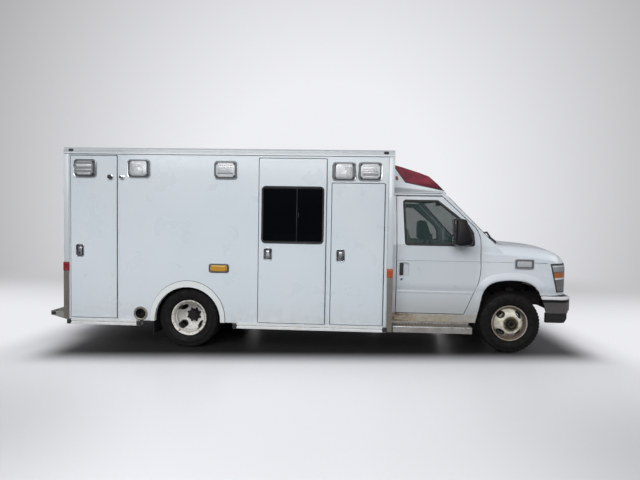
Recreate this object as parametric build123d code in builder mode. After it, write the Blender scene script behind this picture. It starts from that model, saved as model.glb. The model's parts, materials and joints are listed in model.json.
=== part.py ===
from build123d import *
import os
from math import cos, radians, sin

# Ambulance with a hollow box-shaped patient module behind the cab of a van, on one ladder
# frame with twin rear wheels. +X forward, +Y to the left, +Z up, millimetres. The origin is on
# the ground under the middle of the vehicle's overall length. Right-hand pieces are drawn
# first, and their left-hand partners are mirror images.

os.makedirs("parts", exist_ok=True)

# ---------------------------------------------------------------- driving dimensions
# Lengthwise
WHEELBASE = 4013.0
REAR_OVERHANG = 1785.0  # rear axle to the tip of the rear step
FRONT_OVERHANG = 800.0  # front axle to the face of the bumper
MODULE_OVERHANG = 1555.0  # rear axle to the module's rear wall
CAB_BACK = 1500.0  # front axle back to the joint of cab and module
# Module
MODULE_WIDTH = 2420.0
MODULE_TOP = 2470.0
ROOF_RAIL = 78.0  # depth of the roof's side rail
DRIP_RAIL = MODULE_TOP - ROOF_RAIL
SKIRT_BOTTOM = 340.0
WALL = 45.0  # side, end and door thickness of the module
DOOR_GAP = 8.0  # joint between a door and its opening
FLOOR_TOP = 800.0
FLOOR_THICK = 40.0
LINER = 12.0  # sheet thickness of the compartments, with their stiffeners
COMPARTMENT_DEPTH = 475.0
ROOF_THICK = 50.0
# Wheels
TYRE_RADIUS = 372.0
TYRE_WIDTH = 223.0
RIM_LIP = 220.0  # radius of a rim's flange
RIM_WIDTH = 178.0
WHEEL_OFFSET = 127.0  # wheel centre to its mounting face
FRONT_TRACK = 1762.0
DUAL_INSET = 287.0  # module side in to a rear wheel's mounting face
DUAL_FACE = MODULE_WIDTH / 2 - DUAL_INSET
HUB_BORE = 62.0
KINGPIN = 760.0  # half the distance between the steering axes
RUN = 0.3  # running clearance of hinges, pins and spindles
# Frame
RAIL_OUTER = 432.0
RAIL_FLANGE = 60.0
RAIL_WEB = 8.0
RAIL_TOP = 700.0
RAIL_HEIGHT = 180.0
# Cab
CAB_WIDTH = 2010.0
CAB_PANEL = 45.0  # thickness of doors and pillars
BELT = 1335.0  # height of the window sills
CAB_TOP = 1990.0
ROOF_HALF = 862.0  # half width of the roof at its gutter
SILL_BOTTOM = 366.0
FENDER_SKIN = 14.0
WINDSCREEN_GLASS = 8.0
GLASS = 6.0
# Hinges
KNUCKLE = 5.5  # radius of a piano hinge
LEAF = 3.0
LEAF_WIDTH = 30.0

# ---------------------------------------------------------------- places worked out from them
LENGTH = REAR_OVERHANG + WHEELBASE + FRONT_OVERHANG
RA = REAR_OVERHANG - LENGTH / 2
FA = RA + WHEELBASE
MR = RA - MODULE_OVERHANG
MF = FA - CAB_BACK
SIDE = MODULE_WIDTH / 2
INNER = SIDE - WALL
CAB_SIDE = CAB_WIDTH / 2
HUB_Z = TYRE_RADIUS
FRONT_WHEEL = FRONT_TRACK / 2
OUTER_WHEEL = DUAL_FACE + WHEEL_OFFSET
INNER_WHEEL = DUAL_FACE - WHEEL_OFFSET
COMPARTMENT_BACK = INNER - COMPARTMENT_DEPTH
RAIL_BOTTOM = RAIL_TOP - RAIL_HEIGHT
MIRROR = Plane.XZ


def block(x, y, z, mode=Mode.ADD):
    """A block between two corners, each given as a low and a high value."""
    with Locations(((x[0] + x[1]) / 2, (y[0] + y[1]) / 2, (z[0] + z[1]) / 2)):
        Box(x[1] - x[0], y[1] - y[0], z[1] - z[0], mode=mode)


def side_plate(points, y, thick, mode=Mode.ADD):
    """A plate parallel to the vehicle's side, its inner face at y on the right-hand side."""
    with BuildSketch(Plane.XZ.offset(y)) as face:
        with BuildLine():
            Polyline(*points, close=True)
        make_face()
    extrude(face.sketch, amount=thick, mode=mode)


def side_rect(x, z, y, thick, radius=0.0, mode=Mode.ADD):
    """A rectangular plate parallel to the side, with rounded corners."""
    centre = Vector((x[0] + x[1]) / 2, 0, (z[0] + z[1]) / 2)
    place = Plane(centre - Vector(0, y, 0), x_dir=(1, 0, 0), z_dir=(0, -1, 0))
    with BuildSketch(place) as face:
        if radius > 0:
            RectangleRounded(x[1] - x[0], z[1] - z[0], radius)
        else:
            Rectangle(x[1] - x[0], z[1] - z[0])
    extrude(face.sketch, amount=thick, mode=mode)


def end_rect(y, z, x, thick, radius=0.0, mode=Mode.ADD):
    """A rectangular plate across the vehicle, growing forward from x."""
    centre = Vector(x, (y[0] + y[1]) / 2, (z[0] + z[1]) / 2)
    place = Plane(centre, x_dir=(0, 1, 0), z_dir=(1, 0, 0))
    with BuildSketch(place) as face:
        if radius > 0:
            RectangleRounded(y[1] - y[0], z[1] - z[0], radius)
        else:
            Rectangle(y[1] - y[0], z[1] - z[0])
    extrude(face.sketch, amount=thick, mode=mode)


def rod(start, end, radius, mode=Mode.ADD):
    """A round bar between two points."""
    run = Vector(*end) - Vector(*start)
    with BuildSketch(Plane(start, z_dir=run)) as end_face:
        Circle(radius)
    extrude(end_face.sketch, amount=run.length, mode=mode)


def finish(piece, name):
    piece.part.label = name
    export_step(piece.part, f"parts/{name}.step")


# ---------------------------------------------------------------- the module's doors
# Right side: rear edge and front edge from the module's front wall or rear wall, bottom and top.
# Each one hangs on its front edge.
ENTRY = {"x": (MF - 1629, MF - 813), "z": (354, 2354)}
FRONT_LOCKER = {"x": (MF - 743, MF - 113), "z": (355, 2065)}
REAR_LOCKER = {"x": (MR + 90, MR + 676), "z": (362, 2365)}
MID_LOCKER = {"x": (MR + 2115, MR + 3055), "z": (355, 1420)}
RIGHT_DOORS = [ENTRY, FRONT_LOCKER, REAR_LOCKER]
LEFT_DOORS = [FRONT_LOCKER, MID_LOCKER, REAR_LOCKER]
HINGE_OUT = SIDE + 6.0  # hinge axes of the side doors lie just outside the skin
HINGE_STEPS = 3  # door knuckles on each piano hinge
KNUCKLE_LENGTH = 140.0


def knuckle_bands(z):
    """The heights of a door's own hinge knuckles, evenly spread along its edge."""
    pitch = (z[1] - z[0]) / HINGE_STEPS
    middles = [z[0] + pitch * (n + 0.5) for n in range(HINGE_STEPS)]
    return [(m - KNUCKLE_LENGTH / 2, m + KNUCKLE_LENGTH / 2) for m in middles]


def side_hinge(axis_x, z, fixed):
    """One side of a piano hinge: the wall's leaf and knuckles, or the door's."""
    bands = knuckle_bands(z)
    if fixed:
        edges = [z[0]] + [v for band in bands for v in (band[0] - RUN, band[1] + RUN)] + [z[1]]
        bands = [(edges[n], edges[n + 1]) for n in range(0, len(edges), 2)]
    reach = (axis_x, axis_x + LEAF_WIDTH) if fixed else (axis_x - LEAF_WIDTH, axis_x)
    for band in bands:
        block(reach, (-SIDE - LEAF, -SIDE), band)
        rod((axis_x, -HINGE_OUT, band[0]), (axis_x, -HINGE_OUT, band[1]), KNUCKLE)


def door_axis(door):
    return door["x"][1] + DOOR_GAP / 2


def side_door(door, window=None):
    """A flat pan door flush in the wall, with a paddle latch dish near its free edge."""
    side_rect(door["x"], door["z"], INNER, WALL, 12)
    side_hinge(door_axis(door), door["z"], fixed=False)
    if window:
        side_rect(window["x"], window["z"], INNER - 1, WALL + 2, 45, Mode.SUBTRACT)
    latch = LATCH_AT["x"] + door["x"][0]
    side_rect((latch, latch + 98), LATCH_AT["z"], SIDE - 20, 21, 22, Mode.SUBTRACT)
    side_rect((latch + 6, latch + 92), (LATCH_AT["z"][0] + 6, LATCH_AT["z"][1] - 6), SIDE - 20, 12, 18)
    side_rect((latch + 30, latch + 62), (LATCH_AT["z"][0] + 40, LATCH_AT["z"][1] - 22), SIDE - 8, 14, 8)


LATCH_AT = {"x": 65.0, "z": (1120, 1270)}
ENTRY_WINDOW = {"x": (ENTRY["x"][0] + 38, ENTRY["x"][1] - 33), "z": (1335, 2015)}

# ---------------------------------------------------------------- module shell
ARCH_HALF = 411.0
ARCH_TOP = 769.0
ARCH_CENTRE = RA + 9.0


def rear_arch(half, top, y, thick, mode):
    """The rear wheel opening: a half round over straight sides."""
    spring = top - half
    with BuildSketch(Plane.XZ.offset(y)) as face:
        with BuildLine():
            Line((ARCH_CENTRE + half, SKIRT_BOTTOM - 60), (ARCH_CENTRE + half, spring))
            ThreePointArc(
                (ARCH_CENTRE + half, spring), (ARCH_CENTRE, top), (ARCH_CENTRE - half, spring)
            )
            Line((ARCH_CENTRE - half, spring), (ARCH_CENTRE - half, SKIRT_BOTTOM - 60))
            Line((ARCH_CENTRE - half, SKIRT_BOTTOM - 60), (ARCH_CENTRE + half, SKIRT_BOTTOM - 60))
        make_face()
    extrude(face.sketch, amount=thick, mode=mode)


EXHAUST_AT = (RA - 580.0, 426.0)
EXHAUST_RING = 84.0  # radius of the flange on the wall
EXHAUST_SLEEVE = 70.0
EXHAUST_BORE = 59.0


def module_side(doors, exhaust):
    """A side wall with its door openings, wheel opening and the wall side of its hinges."""
    side_rect((MR, MF), (SKIRT_BOTTOM, DRIP_RAIL), INNER, WALL)
    for door in doors:
        x, z = door["x"], door["z"]
        side_rect(
            (x[0] - DOOR_GAP, x[1] + DOOR_GAP), (z[0] - DOOR_GAP, z[1] + DOOR_GAP),
            INNER - 1, WALL + 2, 14, Mode.SUBTRACT,
        )
        side_hinge(door_axis(door), z, fixed=True)
    rear_arch(ARCH_HALF, ARCH_TOP, INNER - 1, WALL + 2, Mode.SUBTRACT)
    if exhaust:
        ax, az = EXHAUST_AT
        rod((ax, -INNER + 1, az), (ax, -SIDE - 1, az), EXHAUST_SLEEVE, Mode.SUBTRACT)


with BuildPart() as module_side_right:
    module_side(RIGHT_DOORS, exhaust=True)
finish(module_side_right, "module_side_right")

with BuildPart() as left_as_right:
    module_side(LEFT_DOORS, exhaust=False)
with BuildPart() as module_side_left:
    mirror(left_as_right.part, about=MIRROR)
finish(module_side_left, "module_side_left")

# Roof: a flat skin between two rounded side rails
RAIL_ROUND = 32.0
RAIL_LEDGE = 60.0
with BuildPart() as module_roof:
    with BuildSketch(Plane.YZ.offset(MR)):
        with BuildLine():
            Line((-SIDE, DRIP_RAIL), (-SIDE, MODULE_TOP - RAIL_ROUND))
            ThreePointArc(
                (-SIDE, MODULE_TOP - RAIL_ROUND),
                (-SIDE + RAIL_ROUND * (1 - cos(radians(45))), MODULE_TOP - RAIL_ROUND * (1 - sin(radians(45)))),
                (-SIDE + RAIL_ROUND, MODULE_TOP),
            )
            Line((-SIDE + RAIL_ROUND, MODULE_TOP), (0, MODULE_TOP))
            Line((0, MODULE_TOP), (0, MODULE_TOP - ROOF_THICK))
            Line((0, MODULE_TOP - ROOF_THICK), (-INNER + RAIL_LEDGE, MODULE_TOP - ROOF_THICK))
            Line((-INNER + RAIL_LEDGE, MODULE_TOP - ROOF_THICK), (-INNER + RAIL_LEDGE, DRIP_RAIL))
            Line((-INNER + RAIL_LEDGE, DRIP_RAIL), (-SIDE, DRIP_RAIL))
        make_face()
        mirror(about=Plane.YZ)
    extrude(amount=MF - MR)
finish(module_roof, "module_roof")

# Rear wall with the opening of the two rear doors, and the front wall with its pass-through
REAR_DOOR = {"y": (4.0, 730.0), "z": (FLOOR_TOP + 10, 2330.0)}
PASS = {"y": (-280.0, 280.0), "z": (1250.0, 1900.0)}
REAR_HINGE_X = MR - 6.0
REAR_HINGE_Y = REAR_DOOR["y"][1] + DOOR_GAP / 2


def rear_hinge(fixed):
    """The piano hinge of the right-hand rear door: the wall's side or the door's."""
    z = REAR_DOOR["z"]
    bands = knuckle_bands(z)
    if fixed:
        edges = [z[0]] + [v for band in bands for v in (band[0] - RUN, band[1] + RUN)] + [z[1]]
        bands = [(edges[n], edges[n + 1]) for n in range(0, len(edges), 2)]
    low = -REAR_HINGE_Y - LEAF_WIDTH if fixed else -REAR_HINGE_Y
    for band in bands:
        block((MR - LEAF, MR), (low, low + LEAF_WIDTH), band)
        rod((REAR_HINGE_X, -REAR_HINGE_Y, band[0]), (REAR_HINGE_X, -REAR_HINGE_Y, band[1]), KNUCKLE)


with BuildPart() as module_rear_wall:
    end_rect((-INNER, INNER), (SKIRT_BOTTOM + 80, DRIP_RAIL), MR, WALL)
    opening = REAR_DOOR["y"][1] + DOOR_GAP
    end_rect(
        (-opening, opening), (REAR_DOOR["z"][0] - DOOR_GAP, REAR_DOOR["z"][1] + DOOR_GAP),
        MR - 1, WALL + 2, 14, Mode.SUBTRACT,
    )
    rear_hinge(fixed=True)
    mirror(about=MIRROR)

with BuildPart() as module_end_walls:
    add(module_rear_wall.part)
    end_rect((-INNER, INNER), (SKIRT_BOTTOM + 80, DRIP_RAIL), MF - WALL, WALL)
    end_rect(PASS["y"], PASS["z"], MF - WALL - 1, WALL + 2, 40, Mode.SUBTRACT)
    end_rect((-RAIL_OUTER - 30, RAIL_OUTER + 30), (0, FLOOR_TOP - FLOOR_THICK), MF - WALL - 1, WALL + 2, mode=Mode.SUBTRACT)
finish(module_end_walls, "module_end_walls")

# Floor: a deck on cross sills that stand on the frame rails, cut back where lockers drop below it
SILLS = [MR + 120, MR + 900, RA + 560, RA + 1400, MF - 200]
SILL_WIDTH = 80.0
# Bolt holes of the stretcher's floor mount
COT_PLATE = {"x": MR + 1500, "span_x": 300.0, "span_y": 150.0, "hole": 5.5}
with BuildPart() as module_floor:
    block((MR + WALL, MF - WALL), (-INNER, INNER), (FLOOR_TOP - FLOOR_THICK, FLOOR_TOP))
    for doors, sign in ((RIGHT_DOORS, -1), (LEFT_DOORS, 1)):
        for door in doors:
            x = (door["x"][0] - LINER - DOOR_GAP, door["x"][1] + LINER + DOOR_GAP)
            y = sorted((sign * COMPARTMENT_BACK, sign * (INNER + 1)))
            block(x, y, (FLOOR_TOP - FLOOR_THICK - 1, FLOOR_TOP + 1), Mode.SUBTRACT)
    for x in SILLS:
        block((x - SILL_WIDTH / 2, x + SILL_WIDTH / 2), (-640, 640), (RAIL_TOP, FLOOR_TOP - FLOOR_THICK))
    for x in (COT_PLATE["x"] - COT_PLATE["span_x"] / 2, COT_PLATE["x"] + COT_PLATE["span_x"] / 2):
        for y in (-COT_PLATE["span_y"] / 2, COT_PLATE["span_y"] / 2):
            rod((x, y, FLOOR_TOP + 1), (x, y, FLOOR_TOP - FLOOR_THICK - 1), COT_PLATE["hole"], Mode.SUBTRACT)
finish(module_floor, "module_floor")


def locker(door, top):
    """An open-fronted sheet box behind a side door."""
    x = (door["x"][0] - LINER - DOOR_GAP, door["x"][1] + LINER + DOOR_GAP)
    z = (door["z"][0] - DOOR_GAP - LINER, top)
    block(x, (-INNER, -COMPARTMENT_BACK), z)
    block(
        (x[0] + LINER, x[1] - LINER), (-INNER - 1, -COMPARTMENT_BACK - LINER), (z[0] + LINER, z[1] - LINER),
        Mode.SUBTRACT,
    )


LOCKER_HEAD = DOOR_GAP + LINER
with BuildPart() as lockers_right:
    locker(FRONT_LOCKER, FRONT_LOCKER["z"][1] + LOCKER_HEAD)
    locker(REAR_LOCKER, REAR_LOCKER["z"][1] + LOCKER_HEAD)
    step_x = (ENTRY["x"][0] - LINER - DOOR_GAP, ENTRY["x"][1] + LINER + DOOR_GAP)
    step_z = (ENTRY["z"][0] - DOOR_GAP - LINER, FLOOR_TOP)
    block(step_x, (-INNER, -COMPARTMENT_BACK), step_z)
    block(
        (step_x[0] + LINER, step_x[1] - LINER), (-INNER - 1, -COMPARTMENT_BACK - LINER),
        (step_z[0] + LINER, step_z[1] + 1), Mode.SUBTRACT,
    )
finish(lockers_right, "lockers_right")

with BuildPart() as lockers_drawn_right:
    locker(FRONT_LOCKER, FRONT_LOCKER["z"][1] + LOCKER_HEAD)
    locker(REAR_LOCKER, REAR_LOCKER["z"][1] + LOCKER_HEAD)
    locker(MID_LOCKER, MID_LOCKER["z"][1] + LOCKER_HEAD)
with BuildPart() as lockers_left:
    mirror(lockers_drawn_right.part, about=MIRROR)
finish(lockers_left, "lockers_left")

# ---------------------------------------------------------------- module doors
with BuildPart() as entry_door:
    side_door(ENTRY, ENTRY_WINDOW)
finish(entry_door, "entry_door")

with BuildPart() as entry_window:
    side_rect(ENTRY_WINDOW["x"], ENTRY_WINDOW["z"], SIDE - 16, GLASS + 6, 45)
finish(entry_window, "entry_window")

with BuildPart() as locker_door_right_front:
    side_door(FRONT_LOCKER)
finish(locker_door_right_front, "locker_door_right_front")

LAMP = {"width": 290.0, "height": 225.0, "depth": 38.0, "radius": 45.0}


def lamp_housing(x, z):
    """A surface-mounted lamp: a rounded bezel with a dished lens standing in it."""
    half_w, half_h = LAMP["width"] / 2, LAMP["height"] / 2
    side_rect((x - half_w, x + half_w), (z - half_h, z + half_h), SIDE, 14, LAMP["radius"])
    side_rect((x - half_w + 32, x + half_w - 32), (z - half_h + 32, z + half_h - 32), SIDE + 14, LAMP["depth"] - 14, 28)


REAR_LAMP = (RA - 1278.0, 2210.0)
with BuildPart() as locker_door_right_rear:
    side_door(REAR_LOCKER)
    lamp_housing(*REAR_LAMP)
finish(locker_door_right_rear, "locker_door_right_rear")

for name, door in (("front", FRONT_LOCKER), ("mid", MID_LOCKER), ("rear", REAR_LOCKER)):
    with BuildPart() as drawn_right:
        side_door(door)
        if name == "rear":
            lamp_housing(*REAR_LAMP)
    with BuildPart() as locker_door_left:
        mirror(drawn_right.part, about=MIRROR)
    finish(locker_door_left, f"locker_door_left_{name}")

REAR_WINDOW = {"y": (130.0, 600.0), "z": (1430.0, 2080.0)}
with BuildPart() as rear_door_right:
    end_rect((-REAR_DOOR["y"][1], -REAR_DOOR["y"][0]), REAR_DOOR["z"], MR, WALL, 12)
    end_rect((-REAR_WINDOW["y"][1], -REAR_WINDOW["y"][0]), REAR_WINDOW["z"], MR - 1, WALL + 2, 45, Mode.SUBTRACT)
    end_rect((-160, -62), (1120, 1270), MR - 14, 14, 20)
    rear_hinge(fixed=False)
finish(rear_door_right, "rear_door_right")

with BuildPart() as rear_door_left:
    mirror(rear_door_right.part, about=MIRROR)
finish(rear_door_left, "rear_door_left")

with BuildPart() as rear_window_right:
    end_rect((-REAR_WINDOW["y"][1], -REAR_WINDOW["y"][0]), REAR_WINDOW["z"], MR + 4, GLASS + 6, 45)
finish(rear_window_right, "rear_window_right")

with BuildPart() as rear_window_left:
    mirror(rear_window_right.part, about=MIRROR)
finish(rear_window_left, "rear_window_left")

# ---------------------------------------------------------------- trim on the module
RUB_DEPTH = 24.0
RUB_TOP = SKIRT_BOTTOM
RUB_BOTTOM = SKIRT_BOTTOM - 62.0
RING_WIDTH = 54.0
with BuildPart() as rub_rails:
    for x in ((MR + 50, ARCH_CENTRE - ARCH_HALF - 174), (ARCH_CENTRE + ARCH_HALF + 160, MF - 62)):
        with BuildSketch(Plane.YZ.offset(x[0])) as section:
            with BuildLine():
                Polyline(
                    (-INNER, RUB_TOP), (-SIDE - RUB_DEPTH, RUB_TOP), (-SIDE - RUB_DEPTH, RUB_TOP - 20),
                    (-SIDE - RUB_DEPTH + 10, RUB_TOP - 31), (-SIDE - RUB_DEPTH, RUB_TOP - 42),
                    (-SIDE - RUB_DEPTH, RUB_BOTTOM), (-INNER, RUB_BOTTOM), close=True,
                )
            make_face()
        extrude(section.sketch, amount=x[1] - x[0])
    mirror(about=MIRROR)

with BuildPart() as arch_rings:
    rear_arch(ARCH_HALF + RING_WIDTH, ARCH_TOP + RING_WIDTH + 22, SIDE, 12, Mode.ADD)
    rear_arch(ARCH_HALF, ARCH_TOP, SIDE - 1, 14, Mode.SUBTRACT)
    block((MR, MF), (-SIDE - 20, -SIDE + 20), (0, SKIRT_BOTTOM), Mode.SUBTRACT)
    mirror(about=MIRROR)

with BuildPart() as skirt_trim:
    add(rub_rails.part)
    add(arch_rings.part)
finish(skirt_trim, "skirt_trim")

GUARD_TOP = 940.0
GUARD_THICK = 5.0
with BuildPart() as corner_guards:
    for x, z_low, inward in ((MR, SKIRT_BOTTOM, 1), (MF, SKIRT_BOTTOM - 60, -1)):
        wide = sorted((x - inward * GUARD_THICK, x + inward * 62))
        block(wide, (-SIDE - GUARD_THICK, -SIDE), (z_low, GUARD_TOP))
        face = sorted((x - inward * GUARD_THICK, x))
        block(face, (-SIDE - GUARD_THICK, -SIDE + 70), (SKIRT_BOTTOM + 80, GUARD_TOP))
    mirror(about=MIRROR)
finish(corner_guards, "corner_guards")

# Warning and scene lamps on the fixed walls: distance forward of the rear axle and height
SIDE_LAMPS = [(-602.0, 2212.0), (474.0, 2206.0), (1910.0, 2207.0), (2220.0, 2210.0)]
END_LAMP_INSET = 270.0  # module side in to the middle of a lamp on the rear wall
END_LAMPS = [(-SIDE + END_LAMP_INSET, 2240.0), (SIDE - END_LAMP_INSET, 2240.0)]
with BuildPart() as body_lamps:
    for x, z in SIDE_LAMPS:
        lamp_housing(RA + x, z)
    mirror(about=MIRROR)
    half_w, half_h = LAMP["width"] / 2, LAMP["height"] / 2
    for y, z in END_LAMPS:
        bezel = (y - half_w, y + half_w), (z - half_h, z + half_h)
        lens = (bezel[0][0] + 32, bezel[0][1] - 32), (bezel[1][0] + 32, bezel[1][1] - 32)
        end_rect(*bezel, MR - 14, 14, LAMP["radius"])
        end_rect(*lens, MR - LAMP["depth"], LAMP["depth"] - 14, 28)
finish(body_lamps, "body_lamps")

TURN_LAMP = {"x": (RA + 272, RA + 521), "z": (954, 1064)}
ROOF_MARKERS = [MR + 96.0, MF - 52.0]
TAIL_LAMP_INSET = 210.0
with BuildPart() as marker_lamps:
    side_rect(TURN_LAMP["x"], TURN_LAMP["z"], SIDE, 10, 18)
    lens = (TURN_LAMP["x"][0] + 25, TURN_LAMP["x"][1] - 25), (TURN_LAMP["z"][0] + 24, TURN_LAMP["z"][1] - 24)
    side_rect(*lens, SIDE + 10, 16, 12)
    for x in ROOF_MARKERS:
        rod((x, -SIDE, DRIP_RAIL + 40), (x, -SIDE - 10, DRIP_RAIL + 40), 13)
    for x, inward in ((MR, 1), (MF, -1)):
        wide = sorted((x - inward * 4, x + inward * 60))
        block(wide, (-SIDE - 14, -SIDE), (GUARD_TOP, GUARD_TOP + 107))
    mirror(about=MIRROR)
    for y in (-SIDE + TAIL_LAMP_INSET, SIDE - TAIL_LAMP_INSET):
        rod((MR, y, 560), (MR - 18, y, 560), 60)
finish(marker_lamps, "marker_lamps")

# ---------------------------------------------------------------- rear step
STEP_HALF = SIDE - 80.0
STEP_Z = (361.0, 412.0)
STEP_TIP = MR - (REAR_OVERHANG - MODULE_OVERHANG)
PLATE_SPAN = 178.0  # number plate bolts
PLATE_HOLE = 3.5
with BuildPart() as rear_step:
    with BuildSketch(Plane.XZ.offset(-STEP_HALF)) as section:
        with BuildLine():
            Polyline(
                (MR, STEP_Z[1]), (STEP_TIP, STEP_Z[1]), (STEP_TIP, STEP_Z[0] + 4),
                (MR, STEP_Z[0] - 60), close=True,
            )
        make_face()
    extrude(section.sketch, amount=2 * STEP_HALF)
    block((STEP_TIP + 40, MR - 15), (-STEP_HALF + 60, STEP_HALF - 60), (0, STEP_Z[1] - 8), Mode.SUBTRACT)
    for y in (-RAIL_OUTER + 30, RAIL_OUTER - 30):
        block((MR, MR + 120), (y - 25, y + 25), (STEP_Z[0] - 60, SKIRT_BOTTOM + 80))
        block((MR + WALL, MR + 120), (y - 25, y + 25), (STEP_Z[0] - 60, RAIL_BOTTOM))
        block((MR - 16, MR), (y - 25, y + 25), (STEP_Z[0] - 50, STEP_Z[1] - 10))
    for y in (-PLATE_SPAN / 2, PLATE_SPAN / 2):
        rod((STEP_TIP - 1, y, STEP_Z[1] - 22), (STEP_TIP + 30, y, STEP_Z[1] - 22), PLATE_HOLE, Mode.SUBTRACT)
finish(rear_step, "rear_step")

# ---------------------------------------------------------------- ladder frame
RAIL_REAR = MR + WALL
RAIL_FRONT = FA + 610.0
TOW_EYE_X = MR + 190.0
TOW_EYE = 18.0
# Crossmembers: place and underside; the one under the gearbox hangs below the rails
CROSS = [
    (MR + 90, RAIL_BOTTOM + 20), (RA - 420, RAIL_BOTTOM + 20), (RA + 700, RAIL_BOTTOM + 20),
    (RA + 1900, RAIL_BOTTOM + 70), (FA - 700, RAIL_BOTTOM - 100), (FA + 500, RAIL_BOTTOM + 20),
]
with BuildPart() as chassis_frame:
    with BuildSketch(Plane.YZ.offset(RAIL_REAR)) as channel:
        with BuildLine():
            Polyline(
                (-RAIL_OUTER, RAIL_BOTTOM), (-RAIL_OUTER + RAIL_FLANGE, RAIL_BOTTOM),
                (-RAIL_OUTER + RAIL_FLANGE, RAIL_BOTTOM + RAIL_WEB), (-RAIL_OUTER + RAIL_WEB, RAIL_BOTTOM + RAIL_WEB),
                (-RAIL_OUTER + RAIL_WEB, RAIL_TOP - RAIL_WEB), (-RAIL_OUTER + RAIL_FLANGE, RAIL_TOP - RAIL_WEB),
                (-RAIL_OUTER + RAIL_FLANGE, RAIL_TOP), (-RAIL_OUTER, RAIL_TOP), close=True,
            )
        make_face()
    extrude(channel.sketch, amount=RAIL_FRONT - RAIL_REAR)
    mirror(about=MIRROR)
    for x, low in CROSS:
        reach = RAIL_OUTER - RAIL_WEB if low > RAIL_BOTTOM else RAIL_OUTER - RAIL_FLANGE / 2
        block((x - 30, x + 30), (-reach, reach), (low, low + 80))
        if low < RAIL_BOTTOM:
            for side in (-1, 1):
                hanger = sorted((side * (RAIL_OUTER - RAIL_FLANGE), side * reach))
                block((x - 30, x + 30), hanger, (low, RAIL_BOTTOM))
    for side in (-1, 1):
        eye_y = sorted((side * (RAIL_OUTER - RAIL_FLANGE + 10), side * (RAIL_OUTER - RAIL_FLANGE + 30)))
        block((TOW_EYE_X - 40, TOW_EYE_X + 40), eye_y, (RAIL_BOTTOM - 90, RAIL_BOTTOM))
        rod((TOW_EYE_X, eye_y[0] - 1, RAIL_BOTTOM - 52), (TOW_EYE_X, eye_y[1] + 1, RAIL_BOTTOM - 52), TOW_EYE, Mode.SUBTRACT)
finish(chassis_frame, "chassis_frame")

# ---------------------------------------------------------------- wheels
def wheel_plane(x, outward):
    """A section plane through a wheel's axis: its x runs outward and its y upward."""
    return Plane((x, 0, HUB_Z), x_dir=(0, outward, 0), z_dir=(outward, 0, 0))


def spin(section, x):
    revolve(section.sketch, axis=Axis((x, 0, HUB_Z), (0, 1, 0)))


BEAD = 203.0  # radius of a rim's bead seat
DISC_THICK = 10.0


def tyre(x, middle):
    """A tyre on its rim: flat tread, rounded shoulders and bulging walls."""
    half = TYRE_WIDTH / 2
    tread = half - 24
    with BuildSketch(wheel_plane(x, -1)) as section:
        with BuildLine():
            Line((middle - 66, BEAD), (middle + 66, BEAD))
            Line((middle + 66, BEAD), (middle + RIM_WIDTH / 2 - 14, RIM_LIP))
            ThreePointArc(
                (middle + RIM_WIDTH / 2 - 14, RIM_LIP), (middle + half, RIM_LIP + 72), (middle + half - 8, TYRE_RADIUS - 34)
            )
            ThreePointArc(
                (middle + half - 8, TYRE_RADIUS - 34), (middle + half - 12, TYRE_RADIUS - 15), (middle + tread, TYRE_RADIUS - 4)
            )
            ThreePointArc((middle + tread, TYRE_RADIUS - 4), (middle, TYRE_RADIUS), (middle - tread, TYRE_RADIUS - 4))
            ThreePointArc(
                (middle - tread, TYRE_RADIUS - 4), (middle - half + 12, TYRE_RADIUS - 15), (middle - half + 8, TYRE_RADIUS - 34)
            )
            ThreePointArc(
                (middle - half + 8, TYRE_RADIUS - 34), (middle - half, RIM_LIP + 72), (middle - RIM_WIDTH / 2 + 14, RIM_LIP)
            )
            Line((middle - RIM_WIDTH / 2 + 14, RIM_LIP), (middle - 66, BEAD))
        make_face()
    spin(section, x)


def rim(x, middle, face):
    """A steel rim with a dished disc; face is +1 where the disc bulges outward, -1 inward."""
    half = RIM_WIDTH / 2
    mount = middle + face * WHEEL_OFFSET
    with BuildSketch(wheel_plane(x, -1)) as section:
        with BuildLine():
            Polyline(
                (middle - half, RIM_LIP), (middle - half + 12, RIM_LIP), (middle - 68, BEAD), (middle - 45, BEAD - 2),
                (middle - 34, BEAD - 22), (middle + 34, BEAD - 22), (middle + 45, BEAD - 2), (middle + 68, BEAD),
                (middle + half - 12, RIM_LIP), (middle + half, RIM_LIP), (middle + half - 4, RIM_LIP - 12),
                (middle + 66, BEAD - 10), (middle + 48, BEAD - 10), (middle + 38, BEAD - 30), (middle - 38, BEAD - 30),
                (middle - 48, BEAD - 10), (middle - 66, BEAD - 10), (middle - half + 4, RIM_LIP - 12), close=True,
            )
        make_face()
        with BuildLine():
            Polyline(
                (mount, HUB_BORE), (mount, 118), (middle + face * 92, 150), (middle + face * 36, BEAD - 24),
                (middle + face * 20, BEAD - 24), (middle + face * (92 - DISC_THICK), 142),
                (mount - face * DISC_THICK, 112), (mount - face * DISC_THICK, HUB_BORE), close=True,
            )
        make_face()
    spin(section, x)


HAND_HOLES = 4


def hand_holes(x, middle, face):
    """Slotted openings round the disc's cone."""
    reach = middle + face * 60
    for n in range(HAND_HOLES):
        turn = 45 + 360 / HAND_HOLES * n
        centre = Vector(x + 153 * cos(radians(turn)), 0, HUB_Z + 153 * sin(radians(turn)))
        tangent = (-sin(radians(turn)), 0, cos(radians(turn)))
        with BuildSketch(Plane(centre, x_dir=tangent, z_dir=(0, -1, 0))) as slot:
            SlotOverall(66, 30)
        low = min(reach - 50, reach + 50)
        extrude(slot.sketch.moved(Location((0, -low, 0))), amount=100, mode=Mode.SUBTRACT)


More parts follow.
